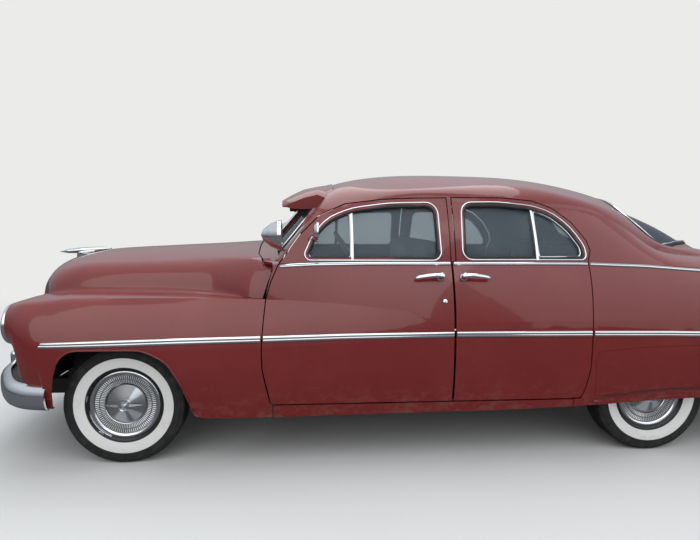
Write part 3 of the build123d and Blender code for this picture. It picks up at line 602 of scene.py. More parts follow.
class Bench:
    """Modelling steps that the sub-assemblies share."""

    @staticmethod
    def clear() -> None:
        """Leave edit mode, with nothing selected."""
        if bpy.context.object is not None and bpy.context.object.mode != "OBJECT":
            bpy.ops.object.mode_set(mode="OBJECT")
        bpy.ops.object.select_all(action="DESELECT")

    @staticmethod
    def pick(piece: Piece) -> None:
        """Make a piece the active one and the only one selected.

        Args:
            piece: The piece.
        """
        Bench.clear()
        bpy.context.view_layer.objects.active = piece
        piece.select_set(True)

    @staticmethod
    def edit(piece: Piece) -> bmesh.types.BMesh:
        """Open a piece in edit mode.

        Args:
            piece: The piece.

        Returns:
            Its mesh, open for editing.
        """
        Bench.pick(piece)
        bpy.ops.object.mode_set(mode="EDIT")
        return bmesh.from_edit_mesh(piece.data)

    @staticmethod
    def close(piece: Piece, name: str, smooth: float = 35.0) -> Piece:
        """Leave edit mode with faces outward, place baked in and smooth shading.

        Args:
            piece: The piece, in edit mode.
            name: Its name.
            smooth: Edges sharper than this many degrees stay sharp.

        Returns:
            The piece.
        """
        bpy.ops.mesh.select_all(action="SELECT")
        bpy.ops.mesh.normals_make_consistent(inside=False)
        bpy.ops.object.mode_set(mode="OBJECT")
        piece.name = piece.data.name = name
        bpy.ops.object.transform_apply(location=True, rotation=True, scale=True)
        bpy.ops.object.shade_smooth_by_angle(angle=math.radians(smooth))
        return piece

    @staticmethod
    def rings(path: Path, outs: Path, profile: Profile,
              scale: Sequence[float] | None = None, loop: bool = False) -> list[list[Vector]]:
        """Cross-sections that stand across a path.

        Args:
            path: Points of the path.
            outs: Outward direction at each point.
            profile: Outline as (across, outward) offsets in metres.
            scale: Size of the outline at each point.
            loop: True when the path closes on itself.

        Returns:
            One ring of points for each path point, and for a loop the first one again.
        """
        count, result = len(path), []
        for i in range(count):
            before = path[i - 1] if loop or i else path[0]
            after = path[(i + 1) % count] if loop or i < count - 1 else path[-1]
            along = (after - before).normalized()
            across = along.cross(outs[i]).normalized()
            out = across.cross(along)
            size = scale[i] if scale else 1.0
            result.append([path[i] + across * (u * size) + out * (v * size) for u, v in profile])
        return result + result[:1] if loop else result

    @staticmethod
    def sweep(name: str, rings: Sequence[Path], loop: bool = False,
              smooth: float = 35.0) -> Piece:
        """Solid through a run of rings: a circle extruded ring by ring.

        Args:
            name: The piece's name.
            rings: Rings with the same number of points each.
            loop: True when the last ring is the first one again.
            smooth: Edges sharper than this many degrees stay sharp.

        Returns:
            The closed piece.
        """
        Bench.clear()
        bpy.ops.mesh.primitive_circle_add(vertices=len(rings[0]), radius=0.1, fill_type="NOTHING")
        piece = bpy.context.object
        mesh = Bench.edit(piece)
        bpy.ops.mesh.select_mode(type="VERT")
        mark = mesh.verts.layers.int.new("ring_place")
        for i, vert in enumerate(mesh.verts):
            vert[mark], vert.co = i, rings[0][i]
        bpy.ops.mesh.select_all(action="SELECT")
        for ring in rings[1:]:
            bpy.ops.mesh.extrude_edges_indiv()
            mesh = bmesh.from_edit_mesh(piece.data)
            mark = mesh.verts.layers.int["ring_place"]
            for vert in mesh.verts:
                if vert.select:
                    vert.co = ring[vert[mark]]
        bmesh.update_edit_mesh(piece.data)
        bpy.ops.mesh.select_all(action="SELECT")
        if loop:
            bpy.ops.mesh.remove_doubles(threshold=1e-6)
        else:
            bpy.ops.mesh.fill_holes(sides=0)
        return Bench.close(piece, name, smooth)

    @staticmethod
    def run(name: str, path: Path, outs: Vector | Path, profile: Profile,
            scale: Sequence[float] | None = None, loop: bool = False, smooth: float = 50.0) -> Piece:
        """Solid with one outline all along a path.

        Args:
            name: The piece's name.
            path: Points of the path.
            outs: Outward direction at each point, or one for them all.
            profile: Outline as (across, outward) offsets in metres.
            scale: Size of the outline at each point.
            loop: True when the path closes on itself.
            smooth: Edges sharper than this many degrees stay sharp.

        Returns:
            The closed piece.
        """
        if isinstance(outs, Vector):
            outs = [outs] * len(path)
        return Bench.sweep(name, Bench.rings(path, outs, profile, scale, loop), loop, smooth)

    @staticmethod
    def lathe(name: str, profile: Profile, center: Vector, axis: Vector, steps: int = 64,
              smooth: float = 35.0) -> Piece:
        """Round piece: an outline spun about an axis.

        Args:
            name: The piece's name.
            profile: Outline as (radius, height) in metres; ends with radius 0 lie on the axis.
            center: Point of the axis at height 0.
            axis: Direction of the axis.
            steps: Facets round it.
            smooth: Edges sharper than this many degrees stay sharp.

        Returns:
            The closed piece.
        """
        axis = axis.normalized()
        side = axis.orthogonal().normalized()
        Bench.clear()
        bpy.ops.mesh.primitive_circle_add(vertices=len(profile), radius=0.1, fill_type="NOTHING")
        piece = bpy.context.object
        mesh = Bench.edit(piece)
        points = [center + side * r + axis * h for r, h in profile]
        for vert, point in zip(mesh.verts, points):
            vert.co = point
        on_axis = profile[0][0] < 1e-7 and profile[-1][0] < 1e-7
        if on_axis:
            ends = {0, len(profile) - 1}
            mesh.edges.ensure_lookup_table()
            closing = [e for e in mesh.edges if {v.index for v in e.verts} == ends]
            bmesh.ops.delete(mesh, geom=closing, context="EDGES")
        bmesh.update_edit_mesh(piece.data)
        bpy.ops.mesh.select_all(action="SELECT")
        bpy.ops.mesh.spin(steps=steps, angle=math.tau, center=center, axis=axis, dupli=False)
        bpy.ops.mesh.select_all(action="SELECT")
        bpy.ops.mesh.remove_doubles(threshold=2e-6)
        return Bench.close(piece, name, smooth)

    @staticmethod
    def box(name: str, low: Vector, high: Vector, round_off: float, segments: int = 3,
            shape: Callable[[Vector], Vector] | None = None, cuts: int = 0) -> Piece:
        """Block with rounded edges, which may then be bent.

        Args:
            name: The piece's name.
            low: Lowest corner.
            high: Highest corner.
            round_off: Radius of the edges.
            segments: Facets round each edge.
            shape: Moves each point of the finished block.
            cuts: Subdivisions before it is bent.

        Returns:
            The closed piece.
        """
        Bench.clear()
        bpy.ops.mesh.primitive_cube_add(size=1)
        piece = bpy.context.object
        mesh = Bench.edit(piece)
        for vert in mesh.verts:
            vert.co = Vector([low[k] if vert.co[k] < 0 else high[k] for k in range(3)])
        bmesh.update_edit_mesh(piece.data)
        bpy.ops.mesh.select_all(action="SELECT")
        if cuts:
            bpy.ops.mesh.subdivide(number_cuts=cuts)
        if round_off:
            bpy.ops.mesh.select_all(action="DESELECT")
            bpy.ops.mesh.select_mode(type="EDGE")
            bpy.ops.mesh.edges_select_sharp(sharpness=math.radians(40))
            bpy.ops.mesh.bevel(offset=round_off, segments=segments, affect="EDGES", profile=0.5)
            bpy.ops.mesh.select_mode(type="VERT")
        if shape:
            mesh = bmesh.from_edit_mesh(piece.data)
            for vert in mesh.verts:
                vert.co = shape(vert.co.copy())
            bmesh.update_edit_mesh(piece.data)
        return Bench.close(piece, name)

    @staticmethod
    def sheet(name: str, points: Sequence[Path], thick: float) -> Piece:
        """Sheet through a grid of points, given its thickness inwards.

        Args:
            name: The piece's name.
            points: Rows of points, in an order that makes the faces look outward.
            thick: Thickness in metres.

        Returns:
            The closed sheet.
        """
        Bench.clear()
        rows, columns = len(points), len(points[0])
        bpy.ops.mesh.primitive_grid_add(x_subdivisions=columns - 1, y_subdivisions=rows - 1, size=1)
        piece = bpy.context.object
        for vert, point in zip(piece.data.vertices, (p for row in points for p in row)):
            vert.co = point
        piece.name = piece.data.name = name
        step = piece.modifiers.new("sheet", "SOLIDIFY")
        step.thickness, step.offset, step.use_even_offset = thick, -1.0, True
        bpy.ops.object.modifier_apply(modifier=step.name)
        return piece

    @staticmethod
    def prism(outline: Profile, low: float, high: float, plan: bool = False) -> Piece:
        """Solid that stands on an outline, for cutting.

        Args:
            outline: Points in side view, or in plan, in millimetres.
            low: Its near end in millimetres.
            high: Its far end.
            plan: True when the outline is in plan.

        Returns:
            The cutter.
        """
        def point(u: float, v: float, depth: float) -> Vector:
            """Place of one corner."""
            return at(u, v, depth) if plan else at(u, depth, v)
        return Bench.sweep("cutter", [[point(u, v, depth) for u, v in outline] for depth in (low, high)])

    @staticmethod
    def cut(piece: Piece, *cutters: Piece) -> None:
        """Take cutters away from a piece, and throw them away.

        Args:
            piece: The piece that is cut.
            cutters: Closed pieces, removed afterwards.
        """
        for cutter in cutters:
            Bench.pick(piece)
            step = piece.modifiers.new("cut", "BOOLEAN")
            step.operation, step.solver, step.object = "DIFFERENCE", "EXACT", cutter
            bpy.ops.object.modifier_apply(modifier=step.name)
            bpy.data.objects.remove(cutter)

    @staticmethod
    def join(name: str, pieces: Sequence[Piece]) -> Piece:
        """One piece from several.

        Args:
            name: Name of the joined piece.
            pieces: The pieces.

        Returns:
            The joined piece.
        """
        Bench.clear()
        for piece in pieces:
            piece.select_set(True)
        bpy.context.view_layer.objects.active = pieces[0]
        bpy.ops.object.join()
        joined = bpy.context.object
        joined.name = joined.data.name = name
        return joined

    @staticmethod
    def dress(piece: Piece, material: Material, body: str, *replaced: str) -> None:
        """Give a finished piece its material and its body.

        Args:
            piece: The piece.
            material: Its finish.
            body: The body that carries it.
            replaced: CAD nodes that it stands for.
        """
        mark = piece.data.attributes.get("ring_place")
        if mark:
            piece.data.attributes.remove(mark)
        piece.data.materials.clear()
        piece.data.materials.append(material)
        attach(piece, body)
        if replaced:
            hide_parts(*replaced)
        log.info("%s: %d faces", piece.name, len(piece.data.polygons))


def circle(radius: float, count: int, flat: float = 1.0) -> Chain:
    """Round outline, or an oval when flat isn't 1."""
    return [(radius * math.cos(math.tau * i / count), radius * flat * math.sin(math.tau * i / count))
            for i in range(count)]


def dome(width: float, height: float, sink: float = 0.002, steps: int = 6) -> Chain:
    """Outline of a rounded strip whose foot goes a little way below the surface it lies on.

    Args:
        width: Its width in metres.
        height: How far it stands out.
        sink: Depth of its foot.
        steps: Facets of its top.

    Returns:
        The outline as (across, outward) offsets.
    """
    top = [(width / 2 * math.cos(math.pi * i / steps), height * math.sin(math.pi * i / steps) ** 0.8)
           for i in range(steps + 1)]
    return [(width / 2, -sink), *top, (-width / 2, -sink)]


def eased(points: Path, steps: int, loop: bool = False) -> list[Vector]:
    """Smooth line through a few points.

    Args:
        points: The points.
        steps: Pieces between each pair.
        loop: True when the line closes on itself.

    Returns:
        The finer points.
    """
    count, line = len(points), []
    spans = count if loop else count - 1
    for i in range(spans):
        p1, p2 = points[i], points[(i + 1) % count]
        p0 = points[i - 1] if loop or i else p1
        p3 = points[(i + 2) % count] if loop or i < count - 2 else p2
        for k in range(steps):
            t = k / steps
            line.append(((p1 * 2) + (p2 - p0) * t + (p0 * 2 - p1 * 5 + p2 * 4 - p3) * t * t
                         + (p1 * 3 - p0 - p2 * 3 + p3) * t ** 3) / 2)
    return line if loop else line + [points[-1].copy()]


def rounded(corners: Sequence[Triple], fine: float = 12.0) -> Chain:
    """Closed side-view outline with rounded corners.

    Args:
        corners: Corner places and radii in millimetres.
        fine: Degrees of arc to a step.

    Returns:
        The outline's points.
    """
    count, line = len(corners), []
    for i, (x, z, radius) in enumerate(corners):
        here = Vector((x, z))
        before, after = Vector(corners[i - 1][:2]) - here, Vector(corners[(i + 1) % count][:2]) - here
        angle = before.angle(after)
        if radius <= 0 or angle > math.radians(176):
            line.append((x, z))
            continue
        reach = min(radius / math.tan(angle / 2), 0.48 * before.length, 0.48 * after.length)
        radius = reach * math.tan(angle / 2)
        inward = (before.normalized() + after.normalized()).normalized()
        heart = here + inward * (radius / math.sin(angle / 2))
        start = here + before.normalized() * reach - heart
        end = here + after.normalized() * reach - heart
        turn = start.angle_signed(end)
        steps = max(2, int(abs(math.degrees(turn)) / fine))
        for k in range(steps + 1):
            c, s = math.cos(-turn * k / steps), math.sin(-turn * k / steps)
            line.append((heart.x + start.x * c - start.y * s, heart.y + start.x * s + start.y * c))
    return line


class Skin:
    """Outer surface of the CAD panels, for placing what lies on them."""

    def __init__(self, names: Iterable[str], pieces: Iterable[str] = ()) -> None:
        """Gather the panels.

        Args:
            names: The CAD nodes.
            pieces: Names of panels made here.
        """
        verts: list[Vector] = []
        faces: list[list[int]] = []
        meshes = [frame["nodes"][name].data for name in names]
        meshes += [bpy.data.objects[name].data for name in pieces]
        for mesh in meshes:
            start = len(verts)
            verts += [v.co.copy() for v in mesh.vertices]
            faces += [[start + i for i in p.vertices] for p in mesh.polygons]
        self.tree = BVHTree.FromPolygons(verts, faces)

    def side(self, x: float, z: float, side: float) -> tuple[Vector, Vector]:
        """Point and outward direction where a line across the car meets the skin.

        Args:
            x: Place along the car, in metres.
            z: Height.
            side: LEFT or RIGHT.

        Returns:
            The point and the direction.
        """
        hit, normal, _, _ = self.tree.ray_cast(Vector((x, side * 1.5, z)), Vector((0, -side, 0)))
        if hit is None:
            hit, normal, _, _ = self.tree.find_nearest(Vector((x, side * 0.9, z)))
        if normal.y * side < 0:
            normal = -normal
        return hit, normal

    def top(self, x: float, y: float) -> tuple[Vector, Vector]:
        """Point and outward direction straight down on the skin.

        Args:
            x: Place along the car, in metres.
            y: Place across it.

        Returns:
            The point and the direction.
        """
        hit, normal, _, _ = self.tree.ray_cast(Vector((x, y, 3.0)), Vector((0, 0, -1)))
        if hit is None:
            hit, normal, _, _ = self.tree.find_nearest(Vector((x, y, 1.0)))
        return hit, normal if normal.z > 0 else -normal


class Track:
    """Smooth value through a few rows, without overshoot."""

    def __init__(self, places: Sequence[float], values: Sequence[float]) -> None:
        """Find the slope at each row.

        Args:
            places: Where the rows stand, in rising order.
            values: The value at each.
        """
        self.places, self.values = list(places), list(values)
        rises = [(v1 - v0) / (a1 - a0)
                 for a0, a1, v0, v1 in zip(places, places[1:], values, values[1:])]
        inner = [0.0 if p * q <= 0 else 2 * p * q / (p + q) for p, q in zip(rises, rises[1:])]
        self.slopes = [rises[0], *inner, rises[-1]]

    def at(self, place: float) -> float:
        """Value at a place.

        Args:
            place: Where; past either end the last slope runs on.

        Returns:
            The value there.
        """
        last = len(self.places) - 2
        i = max(0, min(last, bisect.bisect(self.places, place) - 1))
        run = self.places[i + 1] - self.places[i]
        t = (place - self.places[i]) / run
        v0, v1 = self.values[i], self.values[i + 1]
        if t < 0:
            return v0 + self.slopes[0] * (place - self.places[0])
        if t > 1:
            return v1 + self.slopes[-1] * (place - self.places[-1])
        m0, m1 = self.slopes[i] * run, self.slopes[i + 1] * run
        return (v0 * (2 * t ** 3 - 3 * t * t + 1) + m0 * (t ** 3 - 2 * t * t + t)
                + v1 * (3 * t * t - 2 * t ** 3) + m1 * (t ** 3 - t * t))


def bow(start: Pair, end: Pair, rise: float, steps: int) -> Chain:
    """Shallow arc between two points, without its last point.

    Args:
        start: First point, as half width and height.
        end: Last point.
        rise: How far the arc stands out, away from the car.
        steps: Pieces of the arc.

    Returns:
        The points.
    """
    (y0, z0), (y1, z1) = start, end
    run = math.hypot(y1 - y0, z1 - z0) or 1.0
    out_y, out_z = (z1 - z0) / run, -(y1 - y0) / run
    shares = [k / steps for k in range(steps)]
    return [(y0 + (y1 - y0) * t + out_y * rise * 4 * t * (1 - t),
             z0 + (z1 - z0) * t + out_z * rise * 4 * t * (1 - t)) for t in shares]


def upright(low: Pair, high: Pair) -> float:
    """Rise of an arc that stands upright at its widest end."""
    run, rise = abs(high[0] - low[0]), abs(high[1] - low[1])
    return 0.25 * math.hypot(run, rise) * math.atan2(run, rise)


@dataclass
class FrontPanels:
    """Front fenders, hood and nose as smooth sheets, with their shut lines and wheel openings."""

    finishes: Finishes
    sheet: float = 0.004
    # Fender: behind the axle, bottom z and y, widest z and y, crest z and y, bow, inner z and y.
    fender_rows: tuple[Row, ...] = (
        (-586, 664, 775, 768, 852, 870, 792, 11, 870, 698),
        (-560, 640, 795, 764, 868, 876, 800, 10, 884, 655),
        (-534, 592, 832, 752, 884, 881, 808, 9, 895, 622),
        (-516, 540, 862, 730, 898, 884, 812, 9, 902, 606),
        (-500, 506, 878, 715, 907, 886, 814, 9, 906, 606),
        (-475, 480, 888, 700, 920, 889, 815, 8, 911, 606),
        (-430, 461, 897, 676, 937, 893, 817, 8, 917, 606),
        (-379, 452, 905, 652, 948, 898, 818, 8, 922, 606),
        (-366, 342, 896, 648, 950, 899, 818, 8, 923, 606),
        (-300, 342, 900, 632, 957, 906, 820, 9, 930, 606),
        (-150, 342, 906, 622, 965, 912, 823, 9, 932, 610),
        (100, 320, 905, 620, 970, 916, 830, 9, 930, 628),
        (400, 286, 926, 620, 970, 917, 846, 8, 924, 680),
        (600, 282, 928, 620, 970, 915, 866, 4, 918, 770),
        (700, 282, 928, 620, 970, 912, 878, 2, 915, 848),
        (830, 282, 928, 620, 970, 909, 888, 2, 912, 866))
    # Hood: middle, edge, edge z and y, shoulder z and y, crown z, flare.
    hood_rows: tuple[Row, ...] = (
        (-688, -600, 702, 548, 700, 330, 698, 0), (-692, -585, 745, 551, 752, 332, 756, 0),
        (-690, -520, 800, 555, 835, 336, 850, 3), (-678, -492, 842, 560, 915, 345, 940, 10),
        (-624, -488, 868, 567, 980, 362, 1022, 20), (-556, -480, 886, 577, 1024, 382, 1070, 28),
        (-480, -452, 900, 588, 1052, 402, 1100, 34), (-300, -300, 922, 606, 1080, 440, 1135, 42),
        (100, 100, 930, 640, 1094, 482, 1160, 46), (450, 450, 924, 706, 1110, 545, 1178, 34),
        (700, 700, 914, 838, 1118, 690, 1194, 0), (830, 830, 912, 862, 1124, 725, 1201, 0))
    # Nose: height, place in the middle, place at the outer end, half width.
    nose_rows: tuple[Row, ...] = (
        (455, -648, -400, 900), (480, -652, -440, 895), (512, -656, -478, 884), (560, -663, -512, 862),
        (640, -668, -520, 826), (664, -668, -524, 800), (700, -668, -526, 800), (768, -660, -535, 815),
        (840, -652, -528, 765), (868, -640, -520, 740), (882, -615, -485, 700), (894, -590, -460, 668),
        (903, -560, -440, 650), (907, -520, -418, 640))
    # Wheel opening: corners in side view with their radii.
    arch: Points = (
        (-355, 150, 0), (-318, 500, 400), (-262, 664, 150), (150, 666, 220), (266, 600, 150), (332, 490, 300),
        (372, 385, 400), (400, 290, 60), (520, 276, 30), (520, 150, 0))
    door_line: Outline = (
        (806, 250), (806, 352), (793, 366), (776, 440), (754, 552), (750, 640), (753, 725), (769, 915),
        (800, 1000), (1000, 1000), (1000, 250))
    # Grille's opening: half width, half height, middle height.
    grille_half: Triple = (527, 105, 585)
    hood_rear: Outline = (
        (803, -1000), (803, -858), (797, -800), (749, -760), (709, -600), (697, -300), (694, 0),
        (697, 300), (709, 600), (749, 760), (797, 800), (803, 858), (803, 1000), (1000, 1000), (1000, -1000))
    hood_below: Outline = (
        (690, 300), (690, 905), (752, 915), (780, 1003), (803, 1065), (900, 1065), (900, 300))
    fender_span: Pair = (600, 1100)
    hood_depth: Pair = (500, 1500)
    # Steps up the hood's face and along its top, and up the nose and to each side of it.
    hood_steps: tuple[int, int] = (34, 48)
    nose_steps: tuple[int, int] = (42, 36)
    nose_half: float = 860
    nose_sweep: float = 2.2
    crease: float = 28.0

    def finish(self, piece: Piece, body: str, *replaced: str) -> None:
        """Smooth and paint a finished panel.

        Args:
            piece: The panel.
            body: The body that carries it.
            replaced: CAD nodes that it stands for.
        """
        Bench.pick(piece)
        bpy.ops.object.shade_smooth_by_angle(angle=math.radians(self.crease))
        Bench.dress(piece, self.finishes.paint, body, *replaced)

    def fender_chain(self, row: Sequence[float]) -> Chain:
        """One cross-section of a fender, from its lower edge up and in.

        Args:
            row: A row of the fender's table without its place.

        Returns:
            Half widths and heights.
        """
        bz, by, wz, wy, cz, cy, bulge, tz, ty = row
        low, wide, crest, top = (by, bz), (wy, wz), (cy, cz), (ty, tz)
        return [(by - 14, bz + 2), *bow(low, wide, upright(low, wide), 14),
                *bow(wide, crest, upright(wide, crest), 12), *bow(crest, top, bulge, 9), top]

    @staticmethod
    def fender_stops() -> list[float]:
        """Places of the fender's cross-sections, closest where its lower edge drops.

        Returns:
            Millimetres behind the axle, in rising order.
        """
        ahead = [-586 + 156 * i / 18 for i in range(18)]
        drop = [-430, -410, -394, -380, -376, -372, -368, -364, -356]
        behind = [-340 + 1166 * i / 58 for i in range(59)]
        return ahead + drop + behind

    def fender(self, side: float) -> None:
        """Build one front fender.

        Args:
            side: LEFT or RIGHT.
        """
        places = [row[0] for row in self.fender_rows]
        tracks = [Track(places, [row[k] for row in self.fender_rows]) for k in range(1, 10)]
        rows = []
        for a in self.fender_stops():
            chain = self.fender_chain([track.at(a) for track in tracks])
            rows.append([at(a, side * y, z) for y, z in (chain[::-1] if side == LEFT else chain)])
        piece = Bench.sheet(f"fender_{SIDE_NAMES[side]}", rows, self.sheet)
        near, far = sorted(side * y for y in self.fender_span)
        Bench.cut(piece, Bench.prism(rounded(self.arch, 6), near, far),
                  Bench.prism(self.door_line, near, far))
        self.finish(piece, "root", "front_fenders")

    def hood_chain(self, row: Sequence[float]) -> Chain:
        """Right half of one cross-section of the hood, from its edge up to the middle.

        Args:
            row: A row of the hood's table.

        Returns:
            Half widths and heights.
        """
        _, _, ez, ey, sz, sy, crown, flare = row
        edge, foot, shoulder = (ey + flare, ez - flare * 0.12), (ey - 3, ez + flare * 0.75), (sy, sz)
        chain = bow(edge, foot, -flare * 0.13, 7) if flare > 1 else [edge] * 7
        chain = [(y - i * 0.02, z + i * 0.02) for i, (y, z) in enumerate(chain)]
        chain += bow(foot, shoulder, 26 * min(1, (sz - ez) / 120 if sz > ez else 0), 12)
        drop = crown - sz
        if abs(drop) < 0.5:
            return chain + [(sy * (1 - k / 12), sz + drop * k / 12) for k in range(13)]
        radius = (sy * sy + drop * drop) / (2 * drop)
        for k in range(13):
            y = sy * (1 - k / 12)
            height = math.sqrt(max(radius * radius - y * y, 0))
            chain.append((y, crown - radius + math.copysign(height, radius)))
        return chain

    def hood(self) -> None:
        """Build the hood."""
        rows, spots = self.hood_rows, [0.0]
        for before, after in zip(rows, rows[1:]):
            spots.append(spots[-1] + math.hypot(after[0] - before[0], after[6] - before[6]))
        tracks = [Track(spots, [row[k] for row in rows]) for k in range(8)]
        bend, rest = spots[6], spots[-1] - spots[6]
        face, top = self.hood_steps
        stops = [bend * i / face for i in range(face)] + [bend + rest * i / top for i in range(top + 1)]
        sheet = []
        for stop in stops:
            row = [track.at(stop) for track in tracks]
            right = []
            for y, z in self.hood_chain(row):
                share = min(abs(y) / row[3], 1.0) ** 2
                right.append((row[0] + (row[1] - row[0]) * share, y, z))
            left = [(a, -y, z) for a, y, z in right[:-1]]
            sheet.append([at(a, y, z) for a, y, z in right + left[::-1]][::-1])
        piece = Bench.sheet("hood_panel", sheet, self.sheet)
        Bench.cut(piece, Bench.prism(self.hood_rear, *self.hood_depth, plan=True),
                  Bench.prism(self.hood_below, -1000, 1000))
        self.finish(piece, "hood_lid", "hood")

    def nose_point(self, y: float, z: float) -> float:
        """Place of the nose sheet at a half width and a height.

        Args:
            y: Half width in millimetres.
            z: Height.

        Returns:
            Millimetres behind the axle.
        """
        heights = [row[0] for row in self.nose_rows]
        front, back = (Track(heights, [row[k] for row in self.nose_rows]).at(z) for k in (1, 2))
        return front + (back - front) * (abs(y) / self.nose_half) ** self.nose_sweep

    def nose(self) -> None:
        """Build the nose between the headlamps, with the grille's opening."""
        heights = [row[0] for row in self.nose_rows]
        low, rise = heights[0], heights[-1] - heights[0]
        wide = Track(heights, [row[3] for row in self.nose_rows])
        sheet = []
        up, aside = self.nose_steps
        for i in range(up + 1):
            z = low + rise * (i / up) ** 0.85
            across = [wide.at(z) * (1 - k / aside) for k in range(2 * aside + 1)]
            sheet.append([at(self.nose_point(y, z), y, z) for y in across])
        piece = Bench.sheet("nose_sheet", sheet, self.sheet)
        Bench.cut(piece, self.slot_cutter())
        self.finish(piece, "root", "nose_panel")

    def grille_line(self, grow: float) -> Chain:
        """Outline of the grille's opening as half width and height.

        Args:
            grow: How far outside the opening it runs, in millimetres.

        Returns:
            The outline's points.
        """
        half, tall, mid = self.grille_half
        half, tall = half + grow, tall + grow
        line = []
        for end in (1, -1):
            for k in range(17):
                turn = math.pi / 2 - math.pi * k / 16
                y = end * (half - tall + tall * math.cos(turn))
                line.append((y, mid + end * tall * math.sin(turn)))
        return line

    def slot_cutter(self) -> Piece:
        """Solid that cuts the grille's opening."""
        line = self.grille_line(-2)
        return Bench.sweep("cutter", [[at(a, y, z) for y, z in line] for a in (-800, -560)])

    def arch_lip(self, skin: Skin, side: float) -> None:
        """Roll the edge of one wheel opening.

        Args:
            skin: The body's panels.
            side: LEFT or RIGHT.
        """
        path = []
        for a, z in rounded(self.arch, 8):
            if z > (350 if a < 0 else 290):
                point, _ = skin.side(at(a, 0, 0).x, z / 1000 + 0.004, side)
                path.append(Vector((point.x, point.y, z / 1000)))
        piece = Bench.run(f"arch_lip_{SIDE_NAMES[side]}", path, Vector((0, side, 0)),
                          circle(0.0045, 8), smooth=60)
        Bench.dress(piece, self.finishes.paint, "root")

    def build(self) -> list[str]:
        """Build every sheet.

        Returns:
            Names of the pieces.
        """
        for side in SIDE_NAMES:
            self.fender(side)
        self.hood()
        self.nose()
        return ["fender_left", "fender_right", "hood_panel", "nose_sheet"]


@dataclass
class Headlamps:
    """Round headlamps: a bright bezel round a bowed lens."""

    finishes: Finishes
    heart: Triple = (-592, 745, 768)
    bezel: Outline = (
        (0.086, -0.03), (0.1075, -0.03), (0.1085, 0.0), (0.1085, 0.006), (0.106, 0.011),
        (0.101, 0.013), (0.0955, 0.01), (0.0915, 0.004), (0.088, -0.002))
    lens: Outline = (
        (0, -0.014), (0.089, -0.016), (0.0895, -0.004), (0.082, 0.004), (0.066, 0.0115),
        (0.044, 0.0175), (0.022, 0.0208), (0, 0.0218))

    def build(self) -> None:
        """Fit both lamps."""
        a, y, z = self.heart
        for side, word in SIDE_NAMES.items():
            center = at(a, side * y, z)
            bezel = Bench.lathe(f"headlamp_bezel_{word}", self.bezel, center, FORWARD, 72)
            Bench.dress(bezel, self.finishes.chrome, "root", "headlamps")
            lens = Bench.lathe(f"headlamp_lens_{word}", self.lens, center, FORWARD, 64, smooth=60)
            Bench.dress(lens, self.finishes.lamp, "root", "headlamps")


@dataclass
class Grille:
    """Bright oval surround with a middle bar and upright teeth in a dark opening."""

    finishes: Finishes
    panels: FrontPanels
    bar: Outline = (
        (0.014, -0.01), (0.014, 0.004), (0.006, 0.012), (-0.006, 0.012), (-0.014, 0.004), (-0.014, -0.01))
    tooth: Outline = (
        (0.009, -0.016), (0.009, 0.006), (0.005, 0.016), (0.0, 0.019), (-0.005, 0.016), (-0.009, 0.006),
        (-0.009, -0.016))
    back: Outline = ((0.104, -0.004), (0.104, 0.004), (-0.104, 0.004), (-0.104, -0.004))
    teeth_aside: int = 8
    pitch: float = 56
    tall: float = 96
    end_tall: float = 82

    def on_nose(self, places: Iterable[Pair], deep: float) -> list[Vector]:
        """Points behind the nose, from half widths and heights."""
        return [at(self.panels.nose_point(y, z) + deep, y, z) for y, z in places]

    def build(self) -> None:
        """Fit the grille."""
        mid = self.panels.grille_half[2]
        pieces = [Bench.run("grille_surround", self.on_nose(self.panels.grille_line(2), 0), FORWARD,
                            dome(0.034, 0.016, 0.012), loop=True)]
        across = self.on_nose([(y, mid) for y in range(-515, 516, 30)], 12)
        pieces.append(Bench.run("middle_bar", across, FORWARD, self.bar))
        for i in range(-self.teeth_aside, self.teeth_aside + 1):
            y = i * self.pitch
            half = self.tall if abs(i) < self.teeth_aside else self.end_tall
            line = self.on_nose([(y, mid + half * k / 4) for k in range(-4, 5)], 16)
            pieces.append(Bench.run("tooth", line, FORWARD, self.tooth))
        Bench.dress(Bench.join("grille_bars", pieces), self.finishes.chrome, "root", "grille")
        well = self.on_nose([(y, mid) for y in range(-520, 521, 40)], 70)
        back = Bench.run("grille_well", well, FORWARD, self.back, smooth=35)
        Bench.dress(back, self.finishes.black, "root")


# Trims on the body


